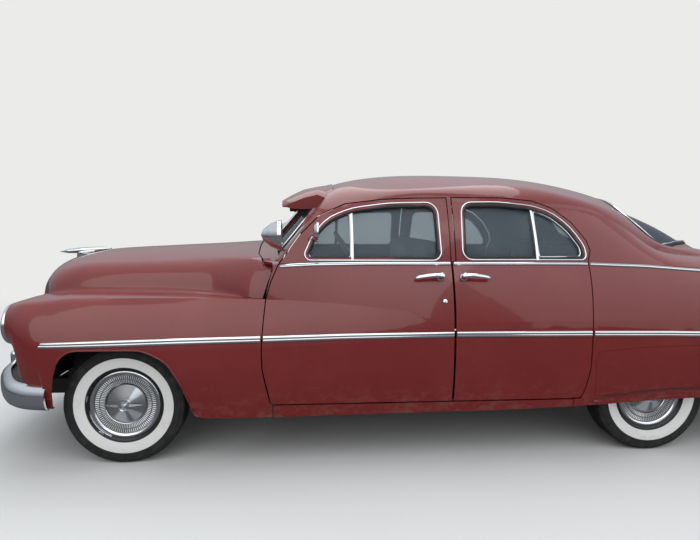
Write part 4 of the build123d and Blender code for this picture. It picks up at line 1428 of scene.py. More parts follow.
@dataclass
class FrontBumper:
    """Deep bright bumper that wraps round the corners, with two guards and the pan behind it; the pan is
    black as painted shade.
    """

    finishes: Finishes
    front: FrontPanels
    plan: Outline = (
        (-816, 0), (-814, 150), (-806, 300), (-788, 420), (-750, 540), (-692, 650), (-630, 750), (-562, 832),
        (-470, 888), (-352, 912))
    level: float = 0.408
    section: Outline = (
        (0.062, -0.018), (0.064, -0.006), (0.059, 0.011), (0.046, 0.025), (0.027, 0.033),
        (0.004, 0.035), (-0.018, 0.034), (-0.038, 0.03), (-0.055, 0.021), (-0.066, 0.008),
        (-0.07, -0.008), (-0.065, -0.009), (-0.06, 0.005), (-0.035, 0.024), (0.004, 0.029),
        (0.042, 0.018), (0.057, -0.006), (0.057, -0.018))
    guard: float = 318
    guard_corners: Points = ((-849, -27, 336), (-796, 27, 520))
    pan_rows: Outline = ((462, 0.0), (452, 0.35), (446, 0.7), (446, 1.0))

    def pan(self) -> list[list[Vector]]:
        """Points of the pan between the bumper and the nose.

        Returns:
            Rows of points.
        """
        reach, rows = Track([y for _, y in self.plan], [a for a, _ in self.plan]), []
        for z, share in self.pan_rows:
            rows.append([])
            for y in range(-860, 861, 43):
                back, ahead = self.front.nose_point(y, 470) + 14, reach.at(abs(y)) - 6
                rows[-1].append(at(back + (ahead - back) * share, y, z))
        return rows

    def build(self) -> None:
        """Fit the bumper, its guards and the pan."""
        half = [at(a, y, self.level * 1000) for a, y in self.plan]
        path = eased([Vector((p.x, -p.y, p.z)) for p in half[:0:-1]] + half, 4)
        outs = []
        for i in range(len(path)):
            along = path[min(i + 1, len(path) - 1)] - path[max(i - 1, 0)]
            outs.append(Vector((-along.y, along.x, 0)).normalized())
        bar = Bench.run("bar", path, outs, self.section, smooth=45)
        guards = []
        for middle_y in (-self.guard, self.guard):
            low, high = (at(a, middle_y + y, z) for a, y, z in self.guard_corners)
            guards.append(Bench.box("guard", low, high, round_off=0.024, segments=5))
        # Painted shade: the pan is black to darken the gap under the nose, though the real pan is body red.
        sheet = Bench.sheet("splash_pan", self.pan(), 0.003)
        Bench.dress(sheet, self.finishes.black, "root")
        piece = Bench.join("bumper_front", [bar, *guards])
        Bench.dress(piece, self.finishes.chrome, "root", "front_bumper")


@dataclass
class WheelHouse:
    """Dark liner over each front wheel, behind the fender."""

    finishes: Finishes
    line: Outline = (
        (-414, 448), (-410, 530), (-384, 606), (-325, 666), (-225, 706), (-100, 724), (40, 730), (160, 718),
        (260, 680), (342, 614), (398, 522), (432, 422), (456, 332), (460, 300))
    across: Triple = (470, 740, 888)

    def build(self) -> None:
        """Fit both liners."""
        line = eased([Vector((a, 0, z)) for a, z in self.line], 3)
        for side, word in SIDE_NAMES.items():
            across = self.across if side == LEFT else self.across[::-1]
            rows = [[at(point.x, side * y, point.z) for y in across] for point in line]
            piece = Bench.sheet(f"wheel_house_{word}", rows, 0.003)
            Bench.dress(piece, self.finishes.black, "root")


@dataclass
class BodyLips:
    """Rolled edge under each skirt, and the frame of the rear window."""

    finishes: Finishes
    skin: Skin
    skirt: Outline = (
        (2592, 336), (2700, 340), (2850, 349), (3000, 358), (3200, 366), (3400, 370), (3560, 366))
    window: Outline = (
        (3012, 0), (3006, 200), (2984, 340), (2968, 450), (2982, 525), (3015, 565), (3070, 585), (3135, 575),
        (3205, 550), (3289, 505), (3357, 455), (3450, 385), (3560, 265), (3630, 140), (3652, 0))
    window_heart: float = 3320
    probe: float = 17
    lip: Outline = (
        (-0.017, -0.008), (-0.02, -0.001), (-0.0185, 0.0085), (-0.012, 0.0145), (-0.003, 0.0155),
        (0.005, 0.0115), (0.008, 0.0055), (0.02, 0.0052), (0.046, 0.005), (0.047, -0.004), (0.0, -0.004))

    def skirt_lip(self, side: float) -> None:
        """Roll the edge over one rear wheel.

        Args:
            side: LEFT or RIGHT.
        """
        path = []
        for point in eased([Vector((a, 0, z)) for a, z in self.skirt], 5):
            hit, _ = self.skin.side(at(point.x, 0, 0).x, 0.43, side)
            path.append(Vector((hit.x, hit.y + side * 0.003, point.z / 1000)))
        section = [(u * side, v) for u, v in self.lip]
        piece = Bench.run(f"skirt_lip_{SIDE_NAMES[side]}", path, Vector((0, side, 0)), section)
        Bench.dress(piece, self.finishes.paint, "root")

    def window_frame(self) -> None:
        """Lay the rubber and the bright strip round the rear window."""
        line = [Vector((a, y, 0)) for a, y in self.window]
        line = eased(line + [Vector((p.x, -p.y, 0)) for p in line[-2:0:-1]], 3, loop=True)
        heart = Vector((self.window_heart, 0, 0))
        for name, grow, section, finish in (
                ("rear_window_rubber", 10, dome(0.03, 0.007, 0.006), self.finishes.rubber),
                ("rear_window_strip", 3, dome(0.012, 0.0125, 0.002), self.finishes.chrome)):
            path, outs = [], []
            for i, point in enumerate(line):
                ahead = line[(i + 1) % len(line)] - line[i - 1]
                away = Vector((ahead.y, -ahead.x, 0)).normalized()
                if away.dot(point - heart) < 0:
                    away.negate()
                sample = point + away * self.probe
                hit, way = self.skin.top(at(sample.x, 0, 0).x, sample.y / 1000)
                spot = at(point.x + away.x * grow, point.y + away.y * grow, 0)
                rise = -(way.x * (spot.x - hit.x) + way.y * (spot.y - hit.y)) / way.z
                path.append(Vector((spot.x, spot.y, hit.z + rise)))
                outs.append(way)
            Bench.dress(Bench.run(name, path, outs, section, loop=True), finish, "root")

    def build(self) -> None:
        """Fit every lip."""
        for side in SIDE_NAMES:
            self.skirt_lip(side)
        self.window_frame()


@dataclass
class SunVisor:
    """Outside visor: a bowed plate with end plates and bolted straps to the pillars."""

    finishes: Finishes
    skin: Skin
    half: float = 620.0
    # Steps each way over the windscreen, and down each end plate.
    across: int = 20
    down: int = 4
    overlap: float = 0.045
    # Place at the end and in the middle, height at the end and in the middle, lower edge of the end.
    rows: tuple[Row, ...] = (
        (851, 838, 1437, 1468, 1410), (905, 896, 1461, 1504, 1403),
        (978, 970, 1490, 1540, 1400), (1051, 1060, 1507, 1560, 1404), (1096, 1110, 1492, 1570, 1414))
    strap: Points = (
        (1040, 632, 1402), (1012, 650, 1372), (984, 672, 1330), (966, 694, 1285), (960, 702, 1262))
    strap_section: Outline = ((0.013, -0.002), (0.013, 0.002), (-0.013, 0.002), (-0.013, -0.002))
    bolt: Outline = ((0, 0), (0.006, 0), (0.006, 0.003), (0.003, 0.005), (0, 0.005))

    def row(self, a_end: float, a_mid: float, z_end: float, z_mid: float, low: float) -> list[Vector]:
        """Points across the visor at one of its rows, with both end plates.

        Args:
            a_end: Place of the row at its ends.
            a_mid: Its place in the middle.
            z_end: Its height at its ends.
            z_mid: Its height in the middle.
            low: Height of the end plate's lower edge.

        Returns:
            The points.
        """
        row, steps = [], self.across + self.down
        for k in range(-steps, steps + 1):
            y = max(-1.0, min(1.0, k / self.across))
            fall = max(abs(k) - self.across, 0) / self.down
            peak = (1 - y * y) * 0.9 + (1 - abs(y)) * 0.1
            drop = 26 * max(abs(y) - 0.9, 0) ** 2 / 0.01
            z = (z_end + (z_mid - z_end) * peak - drop) * (1 - fall) + low * fall
            cut = 24 * fall if a_end < 860 else 0
            row.append(at(a_end + (a_mid - a_end) * peak + cut, y * self.half, z))
        return row

    def build(self) -> None:
        """Fit the visor."""
        rows, rest = [self.row(*row) for row in self.rows], []
        for point in rows[-1]:
            x = point.x + self.overlap
            hit, _ = self.skin.top(x, point.y * 0.97)
            rest.append(Vector((x, point.y, min(hit.z + 0.004, point.z + 0.02))))
        pieces = [Bench.sheet("plate", [*rows, rest], 0.004)]
        for side in SIDE_NAMES:
            path = [at(a, side * y, z) for a, y, z in self.strap]
            out = Vector((-0.5, side, 0.3)).normalized()
            pieces.append(Bench.run("strap", path, out, self.strap_section, smooth=35))
            pieces += [Bench.lathe("bolt", self.bolt, end, Vector((0, side, 0.2)), 12)
                       for end in (path[0], path[-1])]
        piece = Bench.join("visor_plate", pieces)
        Bench.pick(piece)
        bpy.ops.object.shade_smooth_by_angle(angle=math.radians(25))
        Bench.dress(piece, self.finishes.paint, "root", "sun_visor")


@dataclass
class Windscreen:
    """Bright strips with black rubber round the two flat panes."""

    finishes: Finishes
    base_middle: Triple = (760, 0, 1195)
    base_side: Triple = (838, 690, 1155)
    top_side: Triple = (1090, 600, 1468)
    top_middle: Triple = (1047, 0, 1532)
    corner: float = 0.045

    def pane(self, side: float) -> None:
        """Lay the rubber and the bright strip round one pane.

        Args:
            side: LEFT or RIGHT.
        """
        corners = [at(a, side * y, z) for a, y, z in (self.base_middle, self.base_side, self.top_side,
                                                      self.top_middle)]
        heart = sum(corners, Vector()) / 4
        out = (corners[1] - corners[0]).cross(corners[3] - corners[0]).normalized()
        if out.x > 0:
            out.negate()
        for name, grow, section, finish in (
                ("rubber", 0.968, dome(0.032, 0.007, 0.004), self.finishes.rubber),
                ("strip", 0.972, dome(0.011, 0.0115, 0.001), self.finishes.chrome)):
            near = [heart + (corner - heart) * grow for corner in corners]
            line = []
            for i, corner in enumerate(near):
                start, end = (corner + (other - corner).normalized() * self.corner
                              for other in (near[i - 1], near[(i + 1) % 4]))
                line += [start.lerp(corner, t).lerp(corner.lerp(end, t), t)
                         for t in (0, 0.25, 0.5, 0.75, 1)]
            piece = Bench.run(f"windscreen_{name}_{SIDE_NAMES[side]}", line, out, section, loop=True)
            Bench.dress(piece, finish, "root")

    def build(self) -> None:
        """Frame both panes and stand the bar between them."""
        for side in SIDE_NAMES:
            self.pane(side)
        foot, head = at(*self.base_middle), at(*self.top_middle)
        out = Vector((-(head.z - foot.z), 0, head.x - foot.x)).normalized()
        line = [foot.lerp(head, k / 6) for k in range(7)]
        for name, section, finish in (
                ("bar", dome(0.018, 0.014, 0.002), self.finishes.chrome),
                ("bar_rubber", dome(0.04, 0.008, 0.06), self.finishes.rubber)):
            Bench.dress(Bench.run(f"windscreen_{name}", line, out, section), finish, "root")


@dataclass
class CowlCorner:
    """Small painted sheet under the hood's rear corner, in front of the door."""

    finishes: Finishes
    front: FrontPanels
    stations: Row = (742, 760, 780, 800, 820, 836)
    door: Outline = (
        (764, 860), (772, 930), (781, 1000), (796, 1062), (822, 1118), (900, 1118), (900, 860))
    hood: Outline = (
        (600, -1000), (808, -1000), (808, -858), (802, -800), (754, -760), (714, -600), (600, -600))

    def build(self) -> None:
        """Fit the sheet on both sides."""
        before, last = self.front.hood_rows[-2:]
        for side, word in SIDE_NAMES.items():
            sheet = []
            for a in self.stations:
                share = (a - before[0]) / (last[0] - before[0])
                row = [before[k] + (last[k] - before[k]) * share for k in range(8)]
                line = [at(a, side * (y - 1), z - 1) for y, z in self.front.hood_chain(row)[7:19]]
                sheet.append(line if side == RIGHT else line[::-1])
            piece = Bench.sheet(f"cowl_corner_{word}", sheet, 0.003)
            hood = [(a, -side * y) for a, y in self.hood]
            Bench.cut(piece, Bench.prism(self.door, -1000, 1000),
                      Bench.prism(hood, *self.front.hood_depth, plan=True))
            self.front.finish(piece, "root")


@dataclass
class Seats:
    """Bench seats as crowned cushions with stitched channels and a rounded back."""

    finishes: Finishes
    channel: float = 0.118
    stitch: float = 0.012
    droop: float = 0.055
    # Bench: name, corners of its cushion, corners of its rest, how far the rest leans.
    benches: tuple[tuple[str, tuple[Triple, Triple], tuple[Triple, Triple], float], ...] = (
        ("front", ((1246, -684, 524), (1690, 684, 672)), ((1646, -684, 560), (1726, 684, 1215)), 44),
        ("rear", ((2264, -594, 576), (2690, 594, 712)), ((2616, -594, 590), (2692, 594, 1186)), 90))

    def cushion(self, name: str, low: Triple, high: Triple,
                lean: float, crown: Vector) -> Piece:
        """One cushion: crowned, quilted by seams, and leaning back.

        Args:
            name: The piece's name.
            low: Lowest corner, as (behind the front axle, y, z).
            high: Highest corner.
            lean: How far its top leans back, in millimetres.
            crown: Which way and how far it bulges.

        Returns:
            The cushion.
        """
        start, end = at(*low), at(*high)
        size = end - start

        def shape(point: Vector) -> Vector:
            """Bulge, quilt and lean one point.

            Args:
                point: Its place on the plain block.

            Returns:
                Its new place.
            """
            share = Vector([(point[k] - start[k]) / size[k] for k in range(3)])
            along = share.x if abs(crown.z) > 0 else share.z
            rise = (1 - (2 * share.y - 1) ** 6) * (1 - (2 * along - 1) ** 4)
            seam = abs(math.sin(point.y / self.channel * math.pi)) ** 0.5 * self.stitch
            edge = max(abs(2 * share.y - 1) - 0.72, 0) / 0.28
            fall = Vector((0, 0, -self.droop * edge ** 2.2 * share.z)) if abs(crown.x) > 0 else Vector()
            bulge = point + crown * rise + crown.normalized() * seam * rise
            return bulge + Vector((lean / 1000 * share.z, 0, 0)) + fall

        return Bench.box(name, start, end, round_off=0.034, segments=4, shape=shape, cuts=31)

    def build(self) -> None:
        """Fit both benches."""
        for word, base, back, lean in self.benches:
            cushion = self.cushion(f"{word}_cushion", *base, 0, Vector((0, 0, 0.022)))
            rest = self.cushion(f"{word}_rest", *back, lean, Vector((-0.018, 0, 0)))
            piece = Bench.join(f"{word}_bench", [cushion, rest])
            Bench.dress(piece, self.finishes.cloth, "root", f"{word}_seat")


@dataclass
class SideTrim:
    """Bright strips along the body sides, one piece on each panel they cross."""

    finishes: Finishes
    skin: Skin
    spear_line: Points = (
        # behind the front axle, middle height, width
        (-378, 690, 31), (-200, 694, 34), (0, 699, 37), (300, 706, 37), (738, 714, 36),
        (1200, 724, 34), (1769, 730, 32), (2200, 729, 33), (2543, 727, 34), (3000, 722, 34),
        (3500, 712, 33), (3900, 700, 31), (4060, 694, 28))
    belt_line: Points = (
        (838, 1089, 20), (1000, 1098, 20), (1300, 1102, 20), (1777, 1103, 20), (2200, 1103, 20),
        (2521, 1102, 20), (2900, 1088, 20), (3239, 1063, 20), (3480, 1040, 18))
    spear_out: float = 11.0
    belt_out: float = 8.0
    pace: float = 55
    # Run: kind of strip, panel, first and last place, length of the point at each end.
    runs: tuple[tuple[str, str, Pair, Pair], ...] = (
        ("spear", "fender", (-378, 748), (-24, 0)), ("spear", "front_door", (764, 1778), (0, 0)),
        ("spear", "rear_door", (1794, 2547), (0, 0)), ("spear", "quarter", (2562, 4060), (0, 60)),
        ("belt", "front_door", (842, 1776), (14, 0)), ("belt", "rear_door", (1796, 2560), (0, 0)),
        ("belt", "quarter", (2576, 3480), (0, 40)))
    top: Outline = (
        (1.0, 0.22), (0.8, 0.72), (0.4, 0.98), (0.12, 0.8), (-0.12, 0.8), (-0.4, 0.98),
        (-0.8, 0.72), (-1.0, 0.22))

    @staticmethod
    def look_up(line: Sequence[Triple], behind: float) -> Pair:
        """Height and width of a strip at one place along it."""
        places, heights, widths = zip(*line)
        return float(np.interp(behind, places, heights)), float(np.interp(behind, places, widths))

    def strip(self, name: str, line: Sequence[Triple], span: Pair,
              side: float, out: float, body: str, taper: Pair = (0, 0)) -> None:
        """Lay one strip on one panel.

        Args:
            name: The piece's name.
            line: The strip's table.
            span: Front and rear end, behind the front axle.
            side: LEFT or RIGHT.
            out: How far it stands out, in millimetres.
            body: The body it is fixed to.
            taper: Length of the point at each end; a negative front one is a slanted cut.
        """
        start, end = span
        count = max(4, int((end - start) / self.pace))
        places = [start + (end - start) * i / count for i in range(count + 1)]
        places += [start + taper[0] * share for share in (0.25, 0.5, 0.75) if taper[0] > 0]
        places += [end - taper[1] * share for share in (0.25, 0.5, 0.75) if taper[1]]
        places.sort()
        widest = max(self.look_up(line, a)[1] for a in places)
        path, outs, scale = [], [], []
        for a in places:
            z, width = self.look_up(line, a)
            point, way = self.skin.side(at(a, 0, 0).x, z / 1000, side)
            path.append(point)
            outs.append(Vector((0, way.y, way.z * 0.6)).normalized())
            size = width / widest
            for length, edge in zip(taper, span):
                if length > 0 and abs(a - edge) < length:
                    size *= 0.12 + 0.88 * (abs(a - edge) / length) ** 0.7
            scale.append(size)
        half, high = widest / 2000, out / 1000
        profile = [(half, -0.002), *((half * u, high * v) for u, v in self.top), (-half, -0.002)]
        rings = Bench.rings(path, outs, profile, scale)
        if taper[0] < 0:
            cut = [(path[0].z - point.z) / half * 0.5 + 0.5 - 1 for point in rings[0]]
            rings[0] = [point + Vector((taper[0] / 1000 * c, 0, 0)) for point, c in zip(rings[0], cut)]
        Bench.dress(Bench.sweep(name, rings, smooth=50), self.finishes.chrome, body)

    def build(self) -> None:
        """Lay every strip on both sides."""
        kinds = {"spear": (self.spear_line, self.spear_out), "belt": (self.belt_line, self.belt_out)}
        for side, word in SIDE_NAMES.items():
            for kind, panel, span, taper in self.runs:
                line, out = kinds[kind]
                body = f"{word}_{panel}" if panel.endswith("door") else "root"
                self.strip(f"{kind}_{panel}_{word}", line, span, side, out, body, taper)


class Window(Enum):
    """Side windows: name, corners of the window and of its vent, place and heights of the bar.

    A corner is (behind the front axle, height, radius).
    """

    FRONT = ("front",
             ((966, 1123, 30), (1038, 1280, 260), (1122, 1354, 240), (1244, 1402, 420),
              (1450, 1430, 900), (1722, 1438, 62), (1728, 1123, 45)),
             ((985, 1138, 24), (1040, 1262, 240), (1120, 1338, 200), (1229, 1384, 14), (1229, 1138, 12)),
             1238.0, (1120, 1404))
    REAR = ("rear",
            ((1852, 1127, 52), (1866, 1438, 60), (2080, 1443, 900), (2290, 1422, 420),
             (2400, 1380, 260), (2490, 1298, 300), (2558, 1190, 130), (2556, 1127, 26)),
            ((2285, 1144, 12), (2285, 1406, 14), (2385, 1364, 220), (2470, 1288, 260), (2536, 1190, 90),
             (2534, 1144, 22)),
            2275.0, (1124, 1428))


class WindowWall:
    """Smooth surface through the sheet round one window, on which its trim lies."""

    probe = 18

    def __init__(self, skin: Skin, line: Profile, side: float) -> None:
        """Fit the surface.

        Args:
            skin: The body's panels.
            line: The window's outline in side view, clockwise.
            side: LEFT or RIGHT.
        """
        rows, depths = [], []
        for i, (a, z) in enumerate(line):
            away = outward(line, i)
            a, z = a + away[0] * self.probe, z + away[1] * self.probe
            hit, _ = skin.side(at(a, 0, 0).x, z / 1000, side)
            rows.append(self.terms(hit.x, hit.z))
            depths.append(hit.y)
        self.weights = np.linalg.lstsq(np.array(rows), np.array(depths), rcond=None)[0]
        self.side = side

    @staticmethod
    def terms(x: float, z: float) -> list[float]:
        """Terms of the fitted surface at one place."""
        return [1.0, x, z, x * x, z * z, x * z]

    def point(self, a: float, z: float) -> Vector:
        """Point of the surface, from millimetres."""
        x, height = at(a, 0, 0).x, z / 1000
        return Vector((x, float(np.dot(self.weights, self.terms(x, height))), height))

    def out(self, a: float, z: float) -> Vector:
        """Outward direction of the surface.

        Args:
            a: Millimetres behind the front axle.
            z: Height in millimetres.

        Returns:
            The direction.
        """
        here = self.point(a, z)
        way = (self.point(a + 10, z) - here).cross(self.point(a, z + 10) - here).normalized()
        return way if way.y * self.side > 0 else -way


def outward(line: Profile, i: int) -> Pair:
    """Direction out of a clockwise outline at one of its points.

    Args:
        line: The outline.
        i: Number of the point.

    Returns:
        A step of length 1.
    """
    (x0, z0), (x1, z1) = line[i - 1], line[(i + 1) % len(line)]
    run = math.hypot(x1 - x0, z1 - z0)
    return (-(z1 - z0) / run, (x1 - x0) / run)


@dataclass
class WindowTrim:
    """Bright surrounds, black rubber and upright bars of the side windows."""

    finishes: Finishes
    skin: Skin
    surround_width: float = 0.0095
    rubber_width: float = 0.019
    deep: float = 0.014
    bar_section: Outline = (
        (0.009, -0.012), (0.009, 0.006), (0.006, 0.009), (-0.006, 0.009), (-0.009, 0.006), (-0.009, -0.012))

    def frame(self, name: str, line: Profile, wall: WindowWall, inset: float, sink: float,
              profile: Profile, finish: Material, body: str) -> None:
        """Lay a closed frame along an outline.

        Args:
            name: The piece's name.
            line: Clockwise outline in side view.
            wall: The surface that it lies on.
            inset: How far inside the outline the frame's middle runs, in millimetres.
            sink: How deep its foot lies behind the skin, in metres.
            profile: Its cross-section.
            finish: Its material.
            body: The door that carries it.
        """
        path, outs = [], []
        for i, (a, z) in enumerate(line):
            away = outward(line, i)
            a, z = a - away[0] * inset, z - away[1] * inset
            outs.append(wall.out(a, z))
            path.append(wall.point(a, z) - outs[-1] * sink)
        Bench.dress(Bench.run(name, path, outs, profile, loop=True), finish, body)

    def bar(self, name: str, a: float, z: Pair, wall: WindowWall, body: str) -> None:
        """Stand an upright bar between the glass panes.

        Args:
            name: The piece's name.
            a: Its place behind the front axle.
            z: Its lower and upper end.
            wall: The surface that it follows.
            body: The door that carries it.
        """
        heights = [z[0] + (z[1] - z[0]) * i / 8 for i in range(9)]
        outs = [wall.out(a, height) for height in heights]
        path = [wall.point(a, height) - out * self.deep for height, out in zip(heights, outs)]
        Bench.dress(Bench.run(name, path, outs, self.bar_section), self.finishes.chrome, body)

    def build(self) -> None:
        """Frame the four side windows."""
        chrome, rubber = self.finishes.chrome, self.finishes.rubber
        surround = dome(self.surround_width, 0.0065, 0.004)
        seal, vent = dome(self.rubber_width, 0.004, 0.014), dome(0.009, 0.007, 0.006)
        for side, word in SIDE_NAMES.items():
            for window in Window:
                end, corners, pane, place, heights = window.value
                line, body = rounded(corners), f"{word}_{end}_door"
                wall = WindowWall(self.skin, line, side)
                for name, outline, inset, sink, section, finish in (
                        ("window_surround", line, -3, 0.0, surround, chrome),
                        ("window_rubber", line, 9, 0.005, seal, rubber),
                        ("vent_frame", rounded(pane), 0, self.deep, vent, chrome)):
                    self.frame(f"{name}_{end}_{word}", outline, wall, inset, sink, section, finish, body)
                self.bar(f"window_bar_{end}_{word}", place, heights, wall, body)


@dataclass
class DoorHandles:
    """Bright pull handles with round bosses, and the key button of the front doors."""

    finishes: Finishes
    skin: Skin
    front_boss: Pair = (1715, 1030)
    rear_boss: Pair = (1843, 1030)
    key: Pair = (1732, 906)
    boss_radius: float = 0.023
    reach: float = 0.142
    stand_off: float = 0.04
    # Grip: share of its length, how far it stands out there, thickness.
    grip: Points = (
        (0.0, 0.0, 1.0), (0.2, 0.002, 1.05), (0.45, 0.003, 0.92), (0.7, 0.0, 0.86),
        (0.88, -0.006, 0.84), (0.97, -0.011, 0.7), (1.0, -0.013, 0.35))
    button: Outline = (
        (0, -0.003), (0.013, -0.003), (0.0135, 0.003), (0.011, 0.008), (0.005, 0.0095), (0, 0.01))

    def handle(self, name: str, boss: Pair, way: float, side: float, body: str) -> None:
        """Fit one handle.

        Args:
            name: The piece's name.
            boss: Place of its boss, behind the front axle and height.
            way: -1 when the grip points forward and 1 when it points back.
            side: LEFT or RIGHT.
            body: The door that carries it.
        """
        foot, normal = self.skin.side(at(boss[0], 0, 0).x, boss[1] / 1000, side)
        radius, off = self.boss_radius, self.stand_off
        base = Bench.lathe("boss", [
            (0, -0.004), (radius, -0.004), (radius, 0.004), (radius * 0.93, 0.009), (radius * 0.66, 0.014),
            (radius * 0.58, 0.024), (radius * 0.62, off - 0.01), (radius * 0.72, off - 0.004),
            (radius * 0.6, off + 0.004), (radius * 0.3, off + 0.008), (0, off + 0.009)], foot, normal, 40)
        along = Vector((way, 0, 0)) - normal * normal.x * way
        points = [foot + normal * (off + rise) + along * (self.reach * share)
                  + Vector((0, 0, -0.012 * share * share)) for share, rise, _ in self.grip]
        sizes = [size for _, _, size in self.grip]
        scale = [float(np.interp(i / 3, range(len(sizes)), sizes)) for i in range(19)]
        grip = Bench.run("grip", eased(points, 3), normal, circle(0.0125, 14, 0.62), scale, smooth=60)
        Bench.dress(Bench.join(name, [base, grip]), self.finishes.chrome, body)

    def build(self) -> None:
        """Fit the handles of the four doors."""
        for side, word in SIDE_NAMES.items():
            self.handle(f"handle_front_{word}", self.front_boss, -1, side, f"{word}_front_door")
            self.handle(f"handle_rear_{word}", self.rear_boss, 1, side, f"{word}_rear_door")
            foot, normal = self.skin.side(at(self.key[0], 0, 0).x, self.key[1] / 1000, side)
            button = Bench.lathe(f"key_button_{word}", self.button, foot, normal, 28)
            Bench.dress(button, self.finishes.chrome, f"{word}_front_door")


# Wheels


@dataclass
class RoadWheel:
    """Black steel rim under a full bright cover with two fluted rings, a cone and a spinner."""

    finishes: Finishes
    flutes: int = 88
    cover_stand: float = 0.058
    rim: Outline = (
        (0.1985, 0.0705), (0.203, 0.072), (0.2055, 0.0695), (0.2045, 0.065), (0.2, 0.062),
        (0.1935, 0.0595), (0.1895, 0.052), (0.189, 0.044), (0.166, 0.02), (0.165, -0.04),
        (0.189, -0.06), (0.204, -0.07), (0.197, -0.072), (0.181, -0.063), (0.157, -0.042),
        (0.157, 0.014), (0.06, 0.022), (0.06, 0.028), (0.161, 0.024), (0.179, 0.046),
        (0.181, 0.056), (0.187, 0.061), (0.194, 0.065))
    cover: Outline = (
        (0.0, -0.022), (0.1527, -0.026), (0.1853, -0.016), (0.1914, -0.004), (0.1916, 0.001),
        (0.1896, 0.005), (0.1832, 0.0085), (0.1751, 0.0078), (0.168, 0.004), (0.1634, -0.0005),
        (0.1624, -0.007), (0.1425, -0.0105), (0.1417, -0.0045), (0.1403, -0.003), (0.1384, -0.005),
        (0.1376, -0.011), (0.1161, -0.016), (0.1152, -0.009), (0.1125, -0.0065), (0.1094, -0.009),
        (0.1081, -0.015), (0.1049, -0.016), (0.1003, -0.0135), (0.0611, 0.004), (0.0346, 0.015),
        (0.0, 0.017))
    # Fluted ring: inner and outer radius, height of its face at the outer and at the inner one.
    rings: tuple[Row, ...] = ((0.1428, 0.1624, -0.0072, -0.0105), (0.1164, 0.1377, -0.0112, -0.016))
    flute_rise: float = 0.0045
    # Tread: middles of its grooves, and radius and offset across one of them.
    grooves: Triple = (0.013, 0.034, 0.054)
    groove: Outline = ((0.325, -0.003), (0.319, -0.0022), (0.319, 0.0022), (0.3245, 0.003))
    wall: Outline = (
        (0.3225, 0.066), (0.32, 0.0735), (0.316, 0.0775), (0.311, 0.08), (0.309, 0.0795),
        (0.3, 0.0832), (0.299, 0.0848), (0.2965, 0.085), (0.2955, 0.0838), (0.276, 0.0862),
        (0.27, 0.0864), (0.269, 0.0876), (0.266, 0.0878), (0.2645, 0.0866), (0.245, 0.0858),
        (0.228, 0.0815), (0.213, 0.0745), (0.2095, 0.0738), (0.204, 0.07), (0.196, 0.062))
    hub: Outline = (
        (0, 0.01), (0.04, 0.01), (0.039, 0.017), (0.035, 0.02), (0.03, 0.019), (0.029, 0.036),
        (0.0275, 0.0415), (0.024, 0.043), (0.021, 0.0405), (0.019, 0.0385), (0.012, 0.044), (0, 0.047))
    # Blade of the spinner: distance from the hub's middle, height, size.
    blade: Points = (
        (0.018, 0.031, 1.0), (0.045, 0.029, 0.95), (0.07, 0.024, 0.78), (0.09, 0.018, 0.5),
        (0.101, 0.013, 0.16))
    blade_section: Outline = (
        (0.01, -0.002), (0.009, 0.001), (0.0, 0.0085), (-0.009, 0.001), (-0.01, -0.002),
        (-0.007, -0.006), (0.007, -0.006))
    strip_section: Outline = (
        (0.0022, -0.003), (0.0022, 0.001), (0.0, 0.0024), (-0.0022, 0.001), (-0.0022, -0.003))
    clip_section: Outline = (
        (0.005, -0.004), (0.0045, 0.0015), (0.0, 0.0032), (-0.0045, 0.0015), (-0.005, -0.004))
    # Radius and height of the strip and of the clips, where the clips sit, their size along them.
    strip_lip: Pair = (0.192, 0.0665)
    clip_lip: Pair = (0.201, 0.0715)
    clips: Pair = (-11, 50)
    clip_sizes: Row = (0.7, 0.95, 1, 1, 1, 0.95, 0.7)
    # Wheel: end, side, degrees that its spinner is turned from level.
    places: tuple[tuple[str, float, float], ...] = (
        ("front", LEFT, 0), ("rear", LEFT, 24), ("front", RIGHT, 52), ("rear", RIGHT, -14))

    def fluted(self, inner: float, outer: float, low: float, high: float, center: Vector,
               axis: Vector) -> Piece:
        """Ring of radial flutes.

        Args:
            inner: Inner radius.
            outer: Outer radius.
            low: Height of its face at the outer radius.
            high: Height of its face at the inner radius.
            center: Point of the axis at height 0.
            axis: Outward direction of the wheel.

        Returns:
            The ring.
        """
        profile = [(inner, high - 0.006), (outer, low - 0.006), (outer, low + 0.0005),
                   (inner, high + 0.0005)]
        ring = Bench.lathe("flutes", profile, center, axis, self.flutes * 4, smooth=20)
        for vert in ring.data.vertices:
            offset = vert.co - center
            if offset.dot(axis) < (low + high) / 2 - 0.003:
                continue
            turn = round(math.atan2(offset.z, offset.x) / math.tau * self.flutes * 4)
            if turn % 4 in (1, 2):
                vert.co = vert.co + axis * self.flute_rise
        return ring

    def tyre(self, end: str, side: float) -> None:
        """Build one tyre: grooved tread, square shoulder and a ribbed wall.

        Args:
            end: front or rear.
            side: LEFT or RIGHT.
        """
        word = SIDE_NAMES[side]
        node = f"{end}_tyre_{word}"
        half: Chain = []
        for place in self.grooves:
            half += [(radius, place + offset) for radius, offset in self.groove]
        half += self.wall
        profile = [(r, -h) for r, h in reversed(half)] + half
        piece = Bench.lathe(f"tyre_{end}_{word}", profile, middle(node), Vector((0, side, 0)), 112,
                            smooth=28)
        Bench.dress(piece, self.finishes.tyre[end], f"{word}_{end}_wheel", node)

    def spinner(self, center: Vector, axis: Vector, turn: float) -> Piece:
        """Hub with two pointed blades.

        Args:
            center: Middle of the cover's face.
            axis: Outward direction of the wheel.
            turn: Degrees that the blades are turned from level.

        Returns:
            The spinner.
        """
        pieces = [Bench.lathe("hub", self.hub, center, axis, 48)]
        angle = math.radians(turn)
        for way in (1, -1):
            along = Vector((way * math.cos(angle), 0, way * math.sin(angle)))
            path = [center + along * share + axis * rise for share, rise, _ in self.blade]
            pieces.append(Bench.run("blade", path, axis, self.blade_section,
                                    [size for _, _, size in self.blade], smooth=25))
        return Bench.join("spinner", pieces)

